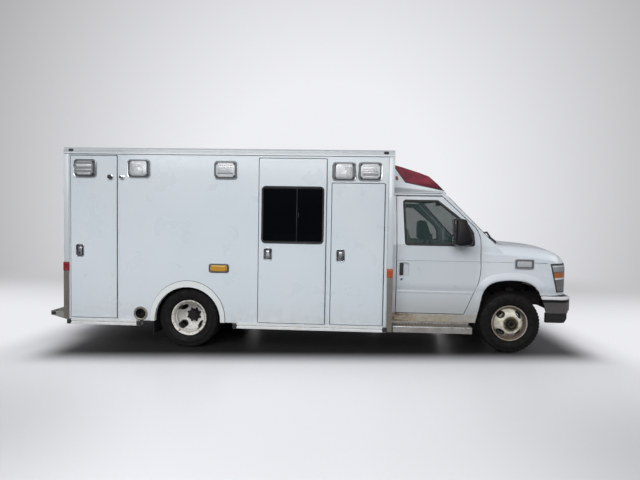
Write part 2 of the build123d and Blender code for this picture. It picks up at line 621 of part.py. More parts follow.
SPINDLE = 25.0
HUB_BODY = 58.0
with BuildPart() as wheel_front_right:
    rim(FA, FRONT_WHEEL, 1)
    hand_holes(FA, FRONT_WHEEL, 1)
    front_mount = FRONT_WHEEL + WHEEL_OFFSET - DISC_THICK
    with BuildSketch(wheel_plane(FA, -1)) as hub_section:
        with BuildLine():
            Polyline(
                (front_mount - 130, SPINDLE + RUN), (front_mount - 130, 152), (front_mount - 108, 152),
                (front_mount - 108, HUB_BODY + 4), (front_mount - 12, HUB_BODY + 4), (front_mount - 12, 100),
                (front_mount, 100), (front_mount, HUB_BODY), (front_mount + 42, HUB_BODY - 6),
                (front_mount + 42, 34), (front_mount - 20, SPINDLE + RUN), close=True,
            )
        make_face()
    spin(hub_section, FA)
finish(wheel_front_right, "wheel_front_right")

with BuildPart() as wheel_front_left:
    mirror(wheel_front_right.part, about=MIRROR)
finish(wheel_front_left, "wheel_front_left")

with BuildPart() as tyre_front_right:
    tyre(FA, FRONT_WHEEL)
finish(tyre_front_right, "tyre_front_right")

with BuildPart() as tyre_front_left:
    mirror(tyre_front_right.part, about=MIRROR)
finish(tyre_front_left, "tyre_front_left")

AXLE_TUBE = 45.0
with BuildPart() as wheels_rear_right:
    rim(RA, OUTER_WHEEL, -1)
    rim(RA, INNER_WHEEL, 1)
    hand_holes(RA, OUTER_WHEEL, -1)
    hand_holes(RA, INNER_WHEEL, 1)
    with BuildSketch(wheel_plane(RA, -1)) as hub_section:
        with BuildLine():
            Polyline(
                (DUAL_FACE - 100, AXLE_TUBE + RUN), (DUAL_FACE - 100, 165), (DUAL_FACE - DISC_THICK - 12, 165),
                (DUAL_FACE - DISC_THICK - 12, 100), (DUAL_FACE - DISC_THICK, 100), (DUAL_FACE - DISC_THICK, HUB_BORE),
                (DUAL_FACE + DISC_THICK, HUB_BORE), (DUAL_FACE + DISC_THICK + 60, HUB_BORE - 4),
                (DUAL_FACE + DISC_THICK + 66, 44), (DUAL_FACE + DISC_THICK + 72, 0),
                (DUAL_FACE, 0), (DUAL_FACE, AXLE_TUBE + RUN), close=True,
            )
        make_face()
    spin(hub_section, RA)
finish(wheels_rear_right, "wheels_rear_right")

with BuildPart() as wheels_rear_left:
    mirror(wheels_rear_right.part, about=MIRROR)
finish(wheels_rear_left, "wheels_rear_left")

with BuildPart() as tyres_rear_right:
    tyre(RA, OUTER_WHEEL)
    tyre(RA, INNER_WHEEL)
finish(tyres_rear_right, "tyres_rear_right")

with BuildPart() as tyres_rear_left:
    mirror(tyres_rear_right.part, about=MIRROR)
finish(tyres_rear_left, "tyres_rear_left")

# ---------------------------------------------------------------- axles
PIN = 12.0
EYE = 34.0
EYE_HALF = 60.0
ARM_THICK = 22.0
with BuildPart() as knuckle_right:
    block((FA - 42, FA + 42), (-KINGPIN - 74, -KINGPIN - 50), (HUB_Z - EYE_HALF - ARM_THICK, HUB_Z + EYE_HALF + ARM_THICK))
    for low in (HUB_Z - EYE_HALF - ARM_THICK, HUB_Z + EYE_HALF):
        block((FA - 26, FA + 26), (-KINGPIN - 52, -KINGPIN), (low, low + ARM_THICK))
        rod((FA, -KINGPIN, low), (FA, -KINGPIN, low + ARM_THICK), 30)
    rod((FA, -KINGPIN, HUB_Z - EYE_HALF), (FA, -KINGPIN, HUB_Z + EYE_HALF), PIN)
    rod((FA, -KINGPIN - 70, HUB_Z), (FA, -FRONT_WHEEL - WHEEL_OFFSET + DISC_THICK + 24, HUB_Z), SPINDLE)
    block((FA - 170, FA - 20), (-KINGPIN - 16, -KINGPIN + 16), (HUB_Z - EYE_HALF - ARM_THICK, HUB_Z - EYE_HALF))
finish(knuckle_right, "knuckle_right")

with BuildPart() as knuckle_left:
    mirror(knuckle_right.part, about=MIRROR)
finish(knuckle_left, "knuckle_left")

BEAM_Z = (HUB_Z - 48, HUB_Z + 20)
BEAM_SPREAD = 42.0
with BuildPart() as front_axle:
    rod((FA, -KINGPIN, HUB_Z - EYE_HALF + RUN), (FA, -KINGPIN, HUB_Z + EYE_HALF - RUN), EYE)
    with BuildSketch(Plane((FA, -KINGPIN + 10, 0), x_dir=(1, 0, 0), z_dir=(0, 1, 0))) as beam:
        middle = -(BEAM_Z[0] + BEAM_Z[1]) / 2
        with Locations((0, middle)):
            Rectangle(50, BEAM_Z[1] - BEAM_Z[0])
        for side in (-19, 19):
            with Locations((side, middle)):
                Rectangle(22, BEAM_Z[1] - BEAM_Z[0] - 28, mode=Mode.SUBTRACT)
    extrude(beam.sketch, amount=KINGPIN - 10 - 14)
    rod((FA, -KINGPIN, HUB_Z - EYE_HALF - 1), (FA, -KINGPIN, HUB_Z + EYE_HALF + 1), PIN + RUN, Mode.SUBTRACT)
    # coil spring and its seat on the frame, the radius arm and its bracket
    rod((FA, -560, BEAM_Z[1]), (FA, -560, RAIL_TOP - 20), 58)
    block((FA - 70, FA + 70), (-620, -RAIL_OUTER), (RAIL_TOP - 20, RAIL_TOP))
    rod((FA, -520, HUB_Z - 14), (FA - 1000, -RAIL_OUTER + 30, RAIL_BOTTOM - 30), 24)
    block((FA - 1030, FA - 970), (-RAIL_OUTER, -RAIL_OUTER + 60), (RAIL_BOTTOM - 62, RAIL_BOTTOM))
    mirror(about=MIRROR)
    block((FA - 40, FA + 40), (-40, 40), (BEAM_Z[0], RAIL_BOTTOM + 20))
    block((FA - 40, FA + 40), (-RAIL_OUTER + RAIL_WEB, RAIL_OUTER - RAIL_WEB), (RAIL_BOTTOM + 20, RAIL_BOTTOM + 80))
finish(front_axle, "front_axle")

SPRING_Y = 560.0
with BuildPart() as rear_axle:
    rod((RA, -DUAL_FACE + 2, HUB_Z), (RA, 0, HUB_Z), AXLE_TUBE)
    rod((RA, -DUAL_FACE + 132, HUB_Z), (RA, 0, HUB_Z), AXLE_TUBE + 16)
    with BuildSketch(Plane.XZ.offset(SPRING_Y - 38)) as leaves:
        with BuildLine():
            Polyline(
                (RA - 520, HUB_Z + 108), (RA - 60, HUB_Z + 61), (RA + 60, HUB_Z + 61), (RA + 640, HUB_Z + 108),
                (RA + 640, HUB_Z + 122), (RA + 60, HUB_Z + 96), (RA - 60, HUB_Z + 96), (RA - 520, HUB_Z + 122), close=True,
            )
        make_face()
    extrude(leaves.sketch, amount=76)
    for x in (RA - 520, RA + 640):
        rod((x, -SPRING_Y - 38, HUB_Z + 115), (x, -SPRING_Y + 38, HUB_Z + 115), 22)
        block((x - 20, x + 20), (-SPRING_Y + 38, -RAIL_OUTER), (HUB_Z + 90, RAIL_BOTTOM + 60))
    block((RA - 58, RA + 58), (-SPRING_Y - 38, -SPRING_Y + 38), (HUB_Z + 30, HUB_Z + 61))
    mirror(about=MIRROR)
    with Locations((RA, 0, HUB_Z)):
        Sphere(150)
    rod((RA + 120, 0, HUB_Z + 8), (FA - 1104.5, 0, 600), 42)
finish(rear_axle, "rear_axle")

with BuildPart() as engine:
    block((FA - 330, FA + 430), (-290, 290), (640, 1150))
    block((FA - 1100, FA - 330), (-170, 170), (RAIL_BOTTOM - 20, 720))
    for x in (FA - 200, FA + 200):
        block((x - 50, x + 50), (-RAIL_OUTER, RAIL_OUTER), (RAIL_TOP, RAIL_TOP + 50))
finish(engine, "engine_block")

with BuildPart() as fuel_tank:
    side_rect((RA - 1300, RA - 480), (RAIL_BOTTOM - 120, RAIL_TOP), -360, 720, 40)
finish(fuel_tank, "fuel_tank")

with BuildPart() as exhaust:
    ax, az = EXHAUST_AT
    rod((ax, -RAIL_OUTER - 60, az + 8), (ax, -INNER - 5, az), 38)
    rod((ax, -INNER + 10, az), (ax, -SIDE, az), EXHAUST_SLEEVE)
    rod((ax, -SIDE, az), (ax, -SIDE - 12, az), EXHAUST_RING)
    rod((ax, -INNER - 4, az), (ax, -SIDE - 13, az), EXHAUST_BORE, Mode.SUBTRACT)
    block((ax - 8, ax + 8), (-RAIL_OUTER - 70, -RAIL_OUTER), (az, RAIL_BOTTOM + 60))
finish(exhaust, "exhaust")


# ---------------------------------------------------------------- cab shape
# Half section of the cab's side, bottom to top: distance from the middle and height
SIDE_PROFILE = [
    (CAB_SIDE - 39, SILL_BOTTOM), (CAB_SIDE - 20, 478), (CAB_SIDE, 744), (CAB_SIDE, 1145),
    (CAB_SIDE - 7, BELT), (ROOF_HALF, CAB_TOP),
]
CAB_REAR = MF
# Front edge of the greenhouse at the belt and at the roof: at the pillars and in the middle
SCREEN_BELT = (FA - 198, FA - 53)
SCREEN_ROOF = (FA - 818, FA - 723)
PILLAR = 72.0  # width of a windscreen pillar seen from the front
SCREEN_Z = (1392.0, 1945.0)
DOOR_REAR = MF + 79
DOOR_JOINT = 9.0
DOOR_TURN = 17.0  # radius kept free round a cab door's hinge line where its edge curves away


def blend_at(low, high, z):
    """A value that runs straight from low at the belt to high at the roof."""
    return low + (high - low) * (z - BELT) / (CAB_TOP - BELT)


def side_band(inner, outer, x, levels=SIDE_PROFILE, mode=Mode.ADD):
    """A slice of the right-hand cab side between two depths below its skin."""
    with BuildSketch(Plane.YZ.offset(x[0])) as band:
        with BuildLine():
            skin = [(-(y - outer), z) for y, z in levels]
            back = [(-(y - inner), z) for y, z in reversed(levels)]
            Polyline(*skin, *back, close=True)
        make_face()
    extrude(band.sketch, amount=x[1] - x[0], mode=mode)


def greenhouse(inset, pull, z, mode=Mode.ADD, rear=None):
    """The cab above the belt: leaning sides and a bowed, raked windscreen face."""
    rear = CAB_REAR if rear is None else rear
    faces = []
    for height in z:
        half = blend_at(SIDE_PROFILE[4][0], ROOF_HALF, height) - inset
        edge = blend_at(SCREEN_BELT[0], SCREEN_ROOF[0], height) - pull
        middle = blend_at(SCREEN_BELT[1], SCREEN_ROOF[1], height) - pull
        with BuildSketch(Plane.XY.offset(height)) as level:
            with BuildLine():
                Line((rear, half), (rear, -half))
                Line((rear, -half), (edge, -half))
                ThreePointArc((edge, -half), (middle, 0), (edge, half))
                Line((edge, half), (rear, half))
            make_face()
        faces.append(level.sketch)
    loft(faces, ruled=True, mode=mode)


def screen_opening(mode):
    """The windscreen aperture, between the pillars and between cowl and header."""
    faces = []
    for height in SCREEN_Z:
        half = blend_at(SIDE_PROFILE[4][0], ROOF_HALF, height) - PILLAR
        edge = blend_at(SCREEN_BELT[0], SCREEN_ROOF[0], height)
        with BuildSketch(Plane.XY.offset(height)) as level:
            with Locations((edge + 100, 0)):
                Rectangle(420, 2 * half)
        faces.append(level.sketch)
    loft(faces, ruled=True, mode=mode)


# Front end, station by station: distance from the front axle, half width of the side, height
# where its shoulder starts, half width and height of the hood's edge, height of the crown, and
# the share of an inset that also draws the station back
NOSE = [
    (-450, CAB_SIDE, 1245, 880, 1372, 1428, 0.0),
    (-60, CAB_SIDE, 1225, 850, 1342, 1394, 0.0),
    (300, CAB_SIDE - 2, 1195, 835, 1316, 1362, 0.0),
    (470, CAB_SIDE - 14, 1168, 825, 1292, 1348, 0.1),
    (570, CAB_SIDE - 45, 1140, 808, 1262, 1332, 0.2),
    (650, CAB_SIDE - 100, 1112, 785, 1218, 1298, 0.5),
    (705, CAB_SIDE - 155, 1085, 750, 1165, 1245, 0.8),
    (735, CAB_SIDE - 205, 1060, 720, 1125, 1190, 1.0),
]
NOSE_BOTTOM = 420.0


def nose(inset, mode=Mode.ADD):
    """The whole front end as one closed form, or the same drawn in by inset all round."""
    faces = []
    for x, side, shoulder, edge_y, edge_z, crown, share in NOSE:
        front = inset * share
        low = NOSE_BOTTOM - (50 if inset else 0)
        s, e = side - inset, edge_y - inset * 0.6
        ez, c, sh = edge_z - inset * 0.8, crown - inset, shoulder - inset * 0.2
        bulge = ((s + e) / 2 + 0.18 * (s - e), (sh + ez) / 2 + 0.18 * (ez - sh))
        with BuildSketch(Plane.YZ.offset(FA + x - front)) as station:
            with BuildLine():
                Line((-s, low), (-s, sh))
                ThreePointArc((-s, sh), (-bulge[0], bulge[1]), (-e, ez))
                ThreePointArc((-e, ez), (0, c), (e, ez))
                ThreePointArc((e, ez), (bulge[0], bulge[1]), (s, sh))
                Line((s, sh), (s, low))
                Line((s, low), (-s, low))
            make_face()
        faces.append(station.sketch)
    loft(faces, ruled=True, mode=mode)


def door_outline(grow, y, thick, mode):
    """The right-hand cab door seen from the side, larger all round by grow."""
    with BuildSketch(Plane.XZ.offset(y)) as face:
        with BuildLine():
            Line((DOOR_REAR, 478), (DOOR_REAR, 1945))
            Line((DOOR_REAR, 1945), (FA - 848, 1945))
            Line((FA - 848, 1945), (FA - 453, 1560))
            ThreePointArc((FA - 453, 1560), (FA - 413, 1487), (FA - 394, 1395))
            Line((FA - 394, 1395), (FA - 393, 1149))
            ThreePointArc((FA - 393, 1149), (FA - 404, 921), (FA - 473, 735))
            Line((FA - 473, 735), (FA - 578, 478))
            Line((FA - 578, 478), (DOOR_REAR, 478))
        make_face()
        if grow > 0:
            offset(amount=grow, kind=Kind.INTERSECTION)
    extrude(face.sketch, amount=thick, mode=mode)


def door_window(y, thick, mode):
    """The window opening of the right-hand cab door."""
    with BuildSketch(Plane.XZ.offset(y)) as face:
        with BuildLine():
            Polyline(
                (MF + 184, BELT + 1), (MF + 162, 1893), (FA - 908, 1893), (FA - 660, 1692),
                (FA - 535, 1588), (FA - 478, 1490), (FA - 470, BELT + 1), close=True,
            )
        make_face()
        fillet(face.vertices(), radius=26)
    extrude(face.sketch, amount=thick, mode=mode)


BUMPER_TOP = 735.0


def front_arch(mode):
    """The front wheel openings, cut from side to side outside the frame."""
    with BuildSketch(Plane.XZ.offset(-CAB_SIDE - 10)) as face:
        with BuildLine():
            Line((FA - 470, 100), (FA - 367, 720))
            ThreePointArc((FA - 367, 720), (FA - 305, 833), (FA - 190, 897))
            ThreePointArc((FA - 190, 897), (FA - 20, 918), (FA + 150, 906))
            ThreePointArc((FA + 150, 906), (FA + 286, 845), (FA + 352, BUMPER_TOP))
            Line((FA + 352, BUMPER_TOP), (FA + 352, 100))
            Line((FA + 352, 100), (FA - 470, 100))
        make_face()
    extrude(face.sketch, amount=2 * CAB_SIDE + 20, mode=mode)


# The cab doors turn on two short hinges just inside their front edge
CAB_AXIS = (FA - 412.0, CAB_SIDE - 12.0)
CAB_BARREL = 6.0
CAB_HINGES = (960.0, 1170.0)
HINGE_SPAN = 36.0  # length of each half of a cab door hinge
LATCH_X = MF + 170
POST_X = (FA - 384.0, FA - 345.0)
with BuildPart() as cab_door_right:
    side_band(CAB_PANEL, 0, (DOOR_REAR, FA - 380))
    door_outline(0, 700, 400, Mode.INTERSECT)
    door_window(700, 400, Mode.SUBTRACT)
    # latch dish with its paddle
    side_rect((LATCH_X - 62, LATCH_X + 62), (944, 1114), CAB_SIDE - 22, 30, 20, Mode.SUBTRACT)
    side_rect((LATCH_X - 60, LATCH_X - 12), (952, 1106), CAB_SIDE - 23, 15, 8)
    ax, ay = CAB_AXIS
    for z in CAB_HINGES:
        block((ax - 18, ax + 40), (-ay - 8, -ay + 60), (z - 4, z + 2 * HINGE_SPAN + 4), Mode.SUBTRACT)
        rod((ax, -ay, z), (ax, -ay, z + HINGE_SPAN), CAB_BARREL)
        block((ax - 19, ax), (-ay - 4, -ay + 4), (z, z + HINGE_SPAN))
finish(cab_door_right, "cab_door_right")

with BuildPart() as cab_door_left:
    mirror(cab_door_right.part, about=MIRROR)
finish(cab_door_left, "cab_door_left")

with BuildPart() as cab_glass_right:
    side_band(24, 24 - GLASS, (DOOR_REAR, FA - 380))
    door_window(700, 400, Mode.INTERSECT)
finish(cab_glass_right, "cab_glass_right")

with BuildPart() as cab_glass_left:
    mirror(cab_glass_right.part, about=MIRROR)
finish(cab_glass_left, "cab_glass_left")

# ---------------------------------------------------------------- cab shell
CAB_FLOOR = (740.0, 760.0)
STEP_LEVEL = (452.0, 468.0)
STEP_FRONT = FA - 590.0
COWL_Z = (1250.0, 1262.0)
WHEELHOUSE_TOP = 820.0
COWL_HALF = 640.0
HOOD_AXIS = (FA - 112.0, 1330.0)
HOOD_ARM = (746.0, 758.0)
HOOD_REAR = FA - 50.0
HOOD_HALF = (800.0, 745.0)
HOOD_LIP = 1172.0
HOOD_SLOT = 26.0  # joint ahead of the cowl, wide enough for the hood's rear edge to swing back
with BuildPart() as nose_skin:
    nose(0)
    nose(FENDER_SKIN, Mode.SUBTRACT)
    block((FA - 500, POST_X[0]), (-1100, 1100), (0, 1300), Mode.SUBTRACT)

with BuildPart() as cowl:
    add(nose_skin.part)
    for side in (-1, 1):
        beyond = sorted((side * COWL_HALF, side * 1100))
        block((FA - 600, FA + 900), beyond, (0, 1600), Mode.SUBTRACT)
    block((HOOD_REAR - HOOD_SLOT, FA + 900), (-1100, 1100), (0, 1600), Mode.SUBTRACT)
    greenhouse(0, 0, (BELT - 100, CAB_TOP), Mode.SUBTRACT)

# What stands between the foot of a windscreen pillar and the shoulder of the fender
with BuildPart() as pillar_feet:
    side_band(CAB_PANEL, 0, (POST_X[0], FA - 60), SIDE_PROFILE[3:5])
    mirror(about=MIRROR)
    nose(0, Mode.SUBTRACT)
    foot_line = [
        (blend_at(SCREEN_BELT[0], SCREEN_ROOF[0], 1180), 1180), (blend_at(SCREEN_BELT[0], SCREEN_ROOF[0], 1400), 1400),
        (FA, 1400), (FA, 1180),
    ]
    side_plate(foot_line, -1100, 2200, Mode.SUBTRACT)

with BuildPart() as cab_shell:
    greenhouse(0, 0, (BELT, CAB_TOP))
    side_band(CAB_PANEL, 0, (CAB_REAR, POST_X[0]), SIDE_PROFILE[:5])
    mirror(about=MIRROR)
    add(pillar_feet.part)
    block((CAB_REAR, CAB_REAR + 20), (-CAB_SIDE + CAB_PANEL, CAB_SIDE - CAB_PANEL), (CAB_FLOOR[1], BELT))
    greenhouse(CAB_PANEL, CAB_PANEL, (BELT - 1, CAB_TOP - 40), Mode.SUBTRACT, CAB_REAR + 20)
    screen_opening(Mode.SUBTRACT)
    door_outline(DOOR_JOINT, -1300, 2600, Mode.SUBTRACT)
    block((POST_X[0] - 14, POST_X[0] + 1), (-CAB_SIDE - 10, CAB_SIDE + 10), (1000, BELT), Mode.SUBTRACT)
    # room for the doors' front edges to turn
    for side in (-1, 1):
        rod((CAB_AXIS[0], side * CAB_AXIS[1], 846), (CAB_AXIS[0], side * CAB_AXIS[1], 940), DOOR_TURN, Mode.SUBTRACT)
    front_arch(Mode.SUBTRACT)
    end_rect(PASS["y"], PASS["z"], CAB_REAR - 1, 30, 40, Mode.SUBTRACT)
    # cowl panel between the windscreen and the hood
    add(cowl.part)
finish(cab_shell, "cab_shell")

with BuildPart() as windscreen:
    greenhouse(0, 6, (BELT, CAB_TOP))
    greenhouse(0, 6 + WINDSCREEN_GLASS * 1.4, (BELT - 1, CAB_TOP + 1), Mode.SUBTRACT, CAB_REAR - 10)
    screen_opening(Mode.INTERSECT)
finish(windscreen, "windscreen")

# Floor with its foot steps, the bulkhead ahead of it, hinge posts and the cowl shelf
with BuildPart() as cab_floor:
    step_edge = SIDE_PROFILE[0][0] + 14 - CAB_PANEL
    with BuildSketch(Plane.YZ.offset(CAB_REAR)) as section:
        with BuildLine():
            Polyline(
                (-step_edge, STEP_LEVEL[0]), (-step_edge, STEP_LEVEL[1]), (-820, STEP_LEVEL[1]), (-820, CAB_FLOOR[1]),
                (0, CAB_FLOOR[1]), (0, CAB_FLOOR[0]), (-800, CAB_FLOOR[0]), (-800, STEP_LEVEL[0]), close=True,
            )
        make_face()
        mirror(about=Plane.YZ)
    extrude(section.sketch, amount=STEP_FRONT - CAB_REAR)
    block((STEP_FRONT, POST_X[0]), (-step_edge, step_edge), CAB_FLOOR)
    for side in (-1, 1):
        post_y = sorted((side * 880, side * (CAB_SIDE - FENDER_SKIN)))
        block(POST_X, post_y, (WHEELHOUSE_TOP, BELT - 100))
        riser_y = sorted((side * 800, side * step_edge))
        block((STEP_FRONT, STEP_FRONT + 12), riser_y, (STEP_LEVEL[0], CAB_FLOOR[1]))
        ear_inner = sorted((side * (HOOD_ARM[0] - RUN), side * (HOOD_ARM[0] - RUN - 10)))
        ear_outer = sorted((side * (HOOD_ARM[1] + RUN), side * (HOOD_ARM[1] + RUN + 10)))
        for ear in (ear_inner, ear_outer):
            block((HOOD_AXIS[0] - 12, HOOD_AXIS[0] + 12), ear, (COWL_Z[1], HOOD_AXIS[1] + 8))
        hinge_x, hinge_y = CAB_AXIS
        for z in CAB_HINGES:
            low = z + HINGE_SPAN + RUN
            top = z + 2 * HINGE_SPAN
            rod((hinge_x, side * hinge_y, low), (hinge_x, side * hinge_y, top), CAB_BARREL)
            block((hinge_x - 6, hinge_x + 4), sorted((side * (hinge_y - 60), side * hinge_y)), (low, top))
            block((hinge_x - 6, POST_X[0]), sorted((side * (hinge_y - 60), side * (hinge_y - 46))), (low, top))
    block((POST_X[0], POST_X[0] + 14), (-880, 880), (CAB_FLOOR[0], COWL_Z[0]))
    block((POST_X[0], FA - 90), (-880, 880), COWL_Z)
finish(cab_floor, "cab_floor")

# ---------------------------------------------------------------- fenders, hood and cowl
LAMP_ZONE = [(FA + 462, 1130), (FA + 900, 1140), (FA + 900, 765), (FA + 558, 768)]
LAMP_DEPTH = 40.0
GRILLE_HALF = 640.0
GRILLE_Z = (790.0, 1148.0)


def hood_zone(grow, slot, mode):
    """The space of the hood seen from above, larger by grow and at the rear by slot, down to its lip."""
    with BuildSketch(Plane.XY.offset(HOOD_LIP - grow)) as plan:
        with BuildLine():
            Polyline(
                (HOOD_REAR - slot, -HOOD_HALF[0] - grow), (FA + 500, -HOOD_HALF[0] - grow),
                (FA + 900, -HOOD_HALF[1] - grow), (FA + 900, HOOD_HALF[1] + grow),
                (FA + 500, HOOD_HALF[0] + grow), (HOOD_REAR - slot, HOOD_HALF[0] + grow), close=True,
            )
        make_face()
    extrude(plan.sketch, amount=400, mode=mode)


with BuildPart() as front_fenders:
    add(nose_skin.part)
    block((FA - 600, FA + 900), (-GRILLE_HALF, GRILLE_HALF), (0, 1600), Mode.SUBTRACT)
    hood_zone(6, HOOD_SLOT, Mode.SUBTRACT)
    front_arch(Mode.SUBTRACT)
    block((FA + 345, FA + 900), (-1100, 1100), (0, BUMPER_TOP), Mode.SUBTRACT)
    side_plate(LAMP_ZONE, -1100, 2200, Mode.SUBTRACT)
    greenhouse(0, 0, (BELT, CAB_TOP), Mode.SUBTRACT)
    block((FA - 600, POST_X[0]), (-1100, 1100), (0, 1600), Mode.SUBTRACT)
    door_outline(DOOR_JOINT, -1300, 2600, Mode.SUBTRACT)
finish(front_fenders, "front_fenders")

# Outline of a hood hinge's arm from its pin: down, forward and up to the skin
GOOSENECK = [(-7, -4), (42, -62), (96, -62), (96, 14), (70, 14), (70, -48), (50, -48), (6, 2)]
with BuildPart() as hood:
    add(nose_skin.part)
    hood_zone(0, 0, Mode.INTERSECT)
    for side in (-1, 1):
        arm_y = sorted((side * HOOD_ARM[0], side * HOOD_ARM[1]))
        arm = [(HOOD_AXIS[0] + dx, HOOD_AXIS[1] + dz) for dx, dz in GOOSENECK]
        side_plate(arm, -arm_y[1], HOOD_ARM[1] - HOOD_ARM[0])
        rod((HOOD_AXIS[0], arm_y[0], HOOD_AXIS[1]), (HOOD_AXIS[0], arm_y[1], HOOD_AXIS[1]), 9)
finish(hood, "hood")

with BuildPart() as headlamps:
    nose(0)
    side_plate(LAMP_ZONE, -1100, 2200, Mode.INTERSECT)
    nose(LAMP_DEPTH, Mode.SUBTRACT)
    block((FA - 600, FA + 900), (-GRILLE_HALF, GRILLE_HALF), (0, 1600), Mode.SUBTRACT)
finish(headlamps, "headlamps")

GRILLE_FRONT = FA + 748.0
GRILLE_BARS = 5
with BuildPart() as grille:
    end_rect((-GRILLE_HALF, GRILLE_HALF), (GRILLE_Z[0] - 25, HOOD_LIP - 6), GRILLE_FRONT - 50, 42)
    end_rect((-GRILLE_HALF + 26, GRILLE_HALF - 26), GRILLE_Z, GRILLE_FRONT - 51, 52, 18, Mode.SUBTRACT)
    pitch = (GRILLE_Z[1] - GRILLE_Z[0]) / (GRILLE_BARS + 1)
    for n in range(GRILLE_BARS):
        z = GRILLE_Z[0] + pitch * (n + 1)
        block((GRILLE_FRONT - 50, GRILLE_FRONT), (-GRILLE_HALF + 26, GRILLE_HALF - 26), (z - 7, z + 7))
    for y in (-400, -200, 0, 200, 400):
        block((GRILLE_FRONT - 44, GRILLE_FRONT - 12), (y - 5, y + 5), GRILLE_Z)
finish(grille, "grille")


def bumper_band(inset, x_rear, z, mode=Mode.ADD):
    """The bumper's bowed plan, wrapped round to the wheel openings."""
    corner = (FA + FRONT_OVERHANG - 40 - inset, -892 + inset * 0.6)
    with BuildSketch(Plane.XY.offset(z[0])) as plan:
        with BuildLine():
            Line((x_rear, 0), (x_rear, -CAB_SIDE - 4 + inset))
            Line((x_rear, -CAB_SIDE - 4 + inset), (FA + 560, -CAB_SIDE - 4 + inset))
            ThreePointArc((FA + 560, -CAB_SIDE - 4 + inset), (FA + 700 - inset * 0.6, -968 + inset * 0.8), corner)
            ThreePointArc(corner, (FA + FRONT_OVERHANG - 10 - inset, -450), (FA + FRONT_OVERHANG - inset, 0))
            Line((FA + FRONT_OVERHANG - inset, 0), (x_rear, 0))
        make_face()
        mirror(about=Plane.XZ)
    extrude(plan.sketch, amount=z[1] - z[0], mode=mode)


BUMPER_Z = (517.0, BUMPER_TOP - 8)
BUMPER_THICK = 22.0
# The bumper's ends lean forward, and the valance's front is cut away below
BUMPER_END = [(FA + 340, 760), (FA + 350, 760), (FA + 434, 500), (FA + 340, 500)]
VALANCE_FRONT = [(FA + 640, 380), (FA + 660, 397), (FA + 812, 505), (FA + 812, 380)]
with BuildPart() as front_bumper:
    bumper_band(0, FA + 358, (BUMPER_Z[0] + 32, BUMPER_Z[1] - 16))
    bumper_band(10, FA + 358, BUMPER_Z)
    bumper_band(BUMPER_THICK, FA + 300, (BUMPER_Z[0] - 1, BUMPER_Z[1] + 1), Mode.SUBTRACT)
    side_plate(BUMPER_END, -1100, 2200, Mode.SUBTRACT)
    for y in (-RAIL_OUTER + 30, RAIL_OUTER - 30):
        block((RAIL_FRONT, FA + FRONT_OVERHANG - 26), (y - 25, y + 25), (RAIL_BOTTOM + 20, RAIL_TOP - 20))
finish(front_bumper, "front_bumper")

# Black plastic below the bumper, and the flaps behind the rear wheels
VALANCE_BOTTOM = 397.0
with BuildPart() as valance_and_flaps:
    bumper_band(20, FA + 431, (VALANCE_BOTTOM, BUMPER_Z[0]))
    bumper_band(60, FA + 300, (VALANCE_BOTTOM - 1, BUMPER_Z[0] + 1), Mode.SUBTRACT)
    side_plate(VALANCE_FRONT, -1100, 2200, Mode.SUBTRACT)
    for side in (-1, 1):
        flap_y = sorted((side * (SIDE - 60), side * 700))
        block((RA - 446, RA - 438), flap_y, (150, FLOOR_TOP - FLOOR_THICK))
finish(valance_and_flaps, "valance_and_flaps")

BOARD_X = (MF + 30, FA - 510)
with BuildPart() as running_boards:
    with BuildSketch(Plane.YZ.offset(BOARD_X[0])) as section:
        with BuildLine():
            Polyline(
                (-CAB_SIDE + 45, SILL_BOTTOM), (-CAB_SIDE + 30, SILL_BOTTOM), (-CAB_SIDE + 30, 344), (-1118, 338),
                (-1132, 324), (-1132, 262), (-1124, 262), (-1124, 318), (-CAB_SIDE + 45, 324), close=True,
            )
        make_face()
    extrude(section.sketch, amount=BOARD_X[1] - BOARD_X[0])
    mirror(about=MIRROR)
finish(running_boards, "running_boards")

# ---------------------------------------------------------------- roof cap and its red lens
CAP_LEVELS = [  # height, half width, front edge at the side and in the middle
    (CAB_TOP, ROOF_HALF + 4, FA - 800, FA - 702),
    (2110, 812, FA - 900, FA - 800),
    (2420, 612, FA - 1195, FA - 1115),
]
LENS_LINE = [(MF + 40, 2390), (MF + 190, 2130), (FA - 700, 1997)]


def cap_form():
    """The cap over the cab as one closed form, before its sloping top is cut."""
    faces = []
    for height, half, edge, middle in CAP_LEVELS:
        with BuildSketch(Plane.XY.offset(height)) as level:
            with BuildLine():
                Line((CAB_REAR, half), (CAB_REAR, -half))
                Line((CAB_REAR, -half), (edge, -half))
                ThreePointArc((edge, -half), (middle, 0), (edge, half))
                Line((edge, half), (CAB_REAR, half))
            make_face()
        faces.append(level.sketch)
    loft(faces, ruled=True)


def above_slope():
    """Cuts away everything above the cap's sloping top."""
    top = [
        (MF - 50, 2402), (MF + 60, 2374), (MF + 160, 2343), (MF + 374, 2268), (MF + 527, 2203), (MF + 600, 2160),
        (FA - 500, 1990), (FA - 500, 2700), (MF - 50, 2700),
    ]
    side_plate(top, -1000, 2000, Mode.SUBTRACT)


def lens_zone(mode):
    """The wedge above the lens joint."""
    wedge = LENS_LINE + [(FA - 500, 2700), (MF + 20, 2700)]
    side_plate(wedge, -1000, 2000, mode)


with BuildPart() as roof_cap:
    cap_form()
    above_slope()
    lens_zone(Mode.SUBTRACT)
finish(roof_cap, "roof_cap")

with BuildPart() as lightbar_lens:
    cap_form()
    above_slope()
    lens_zone(Mode.INTERSECT)
finish(lightbar_lens, "lightbar_lens")

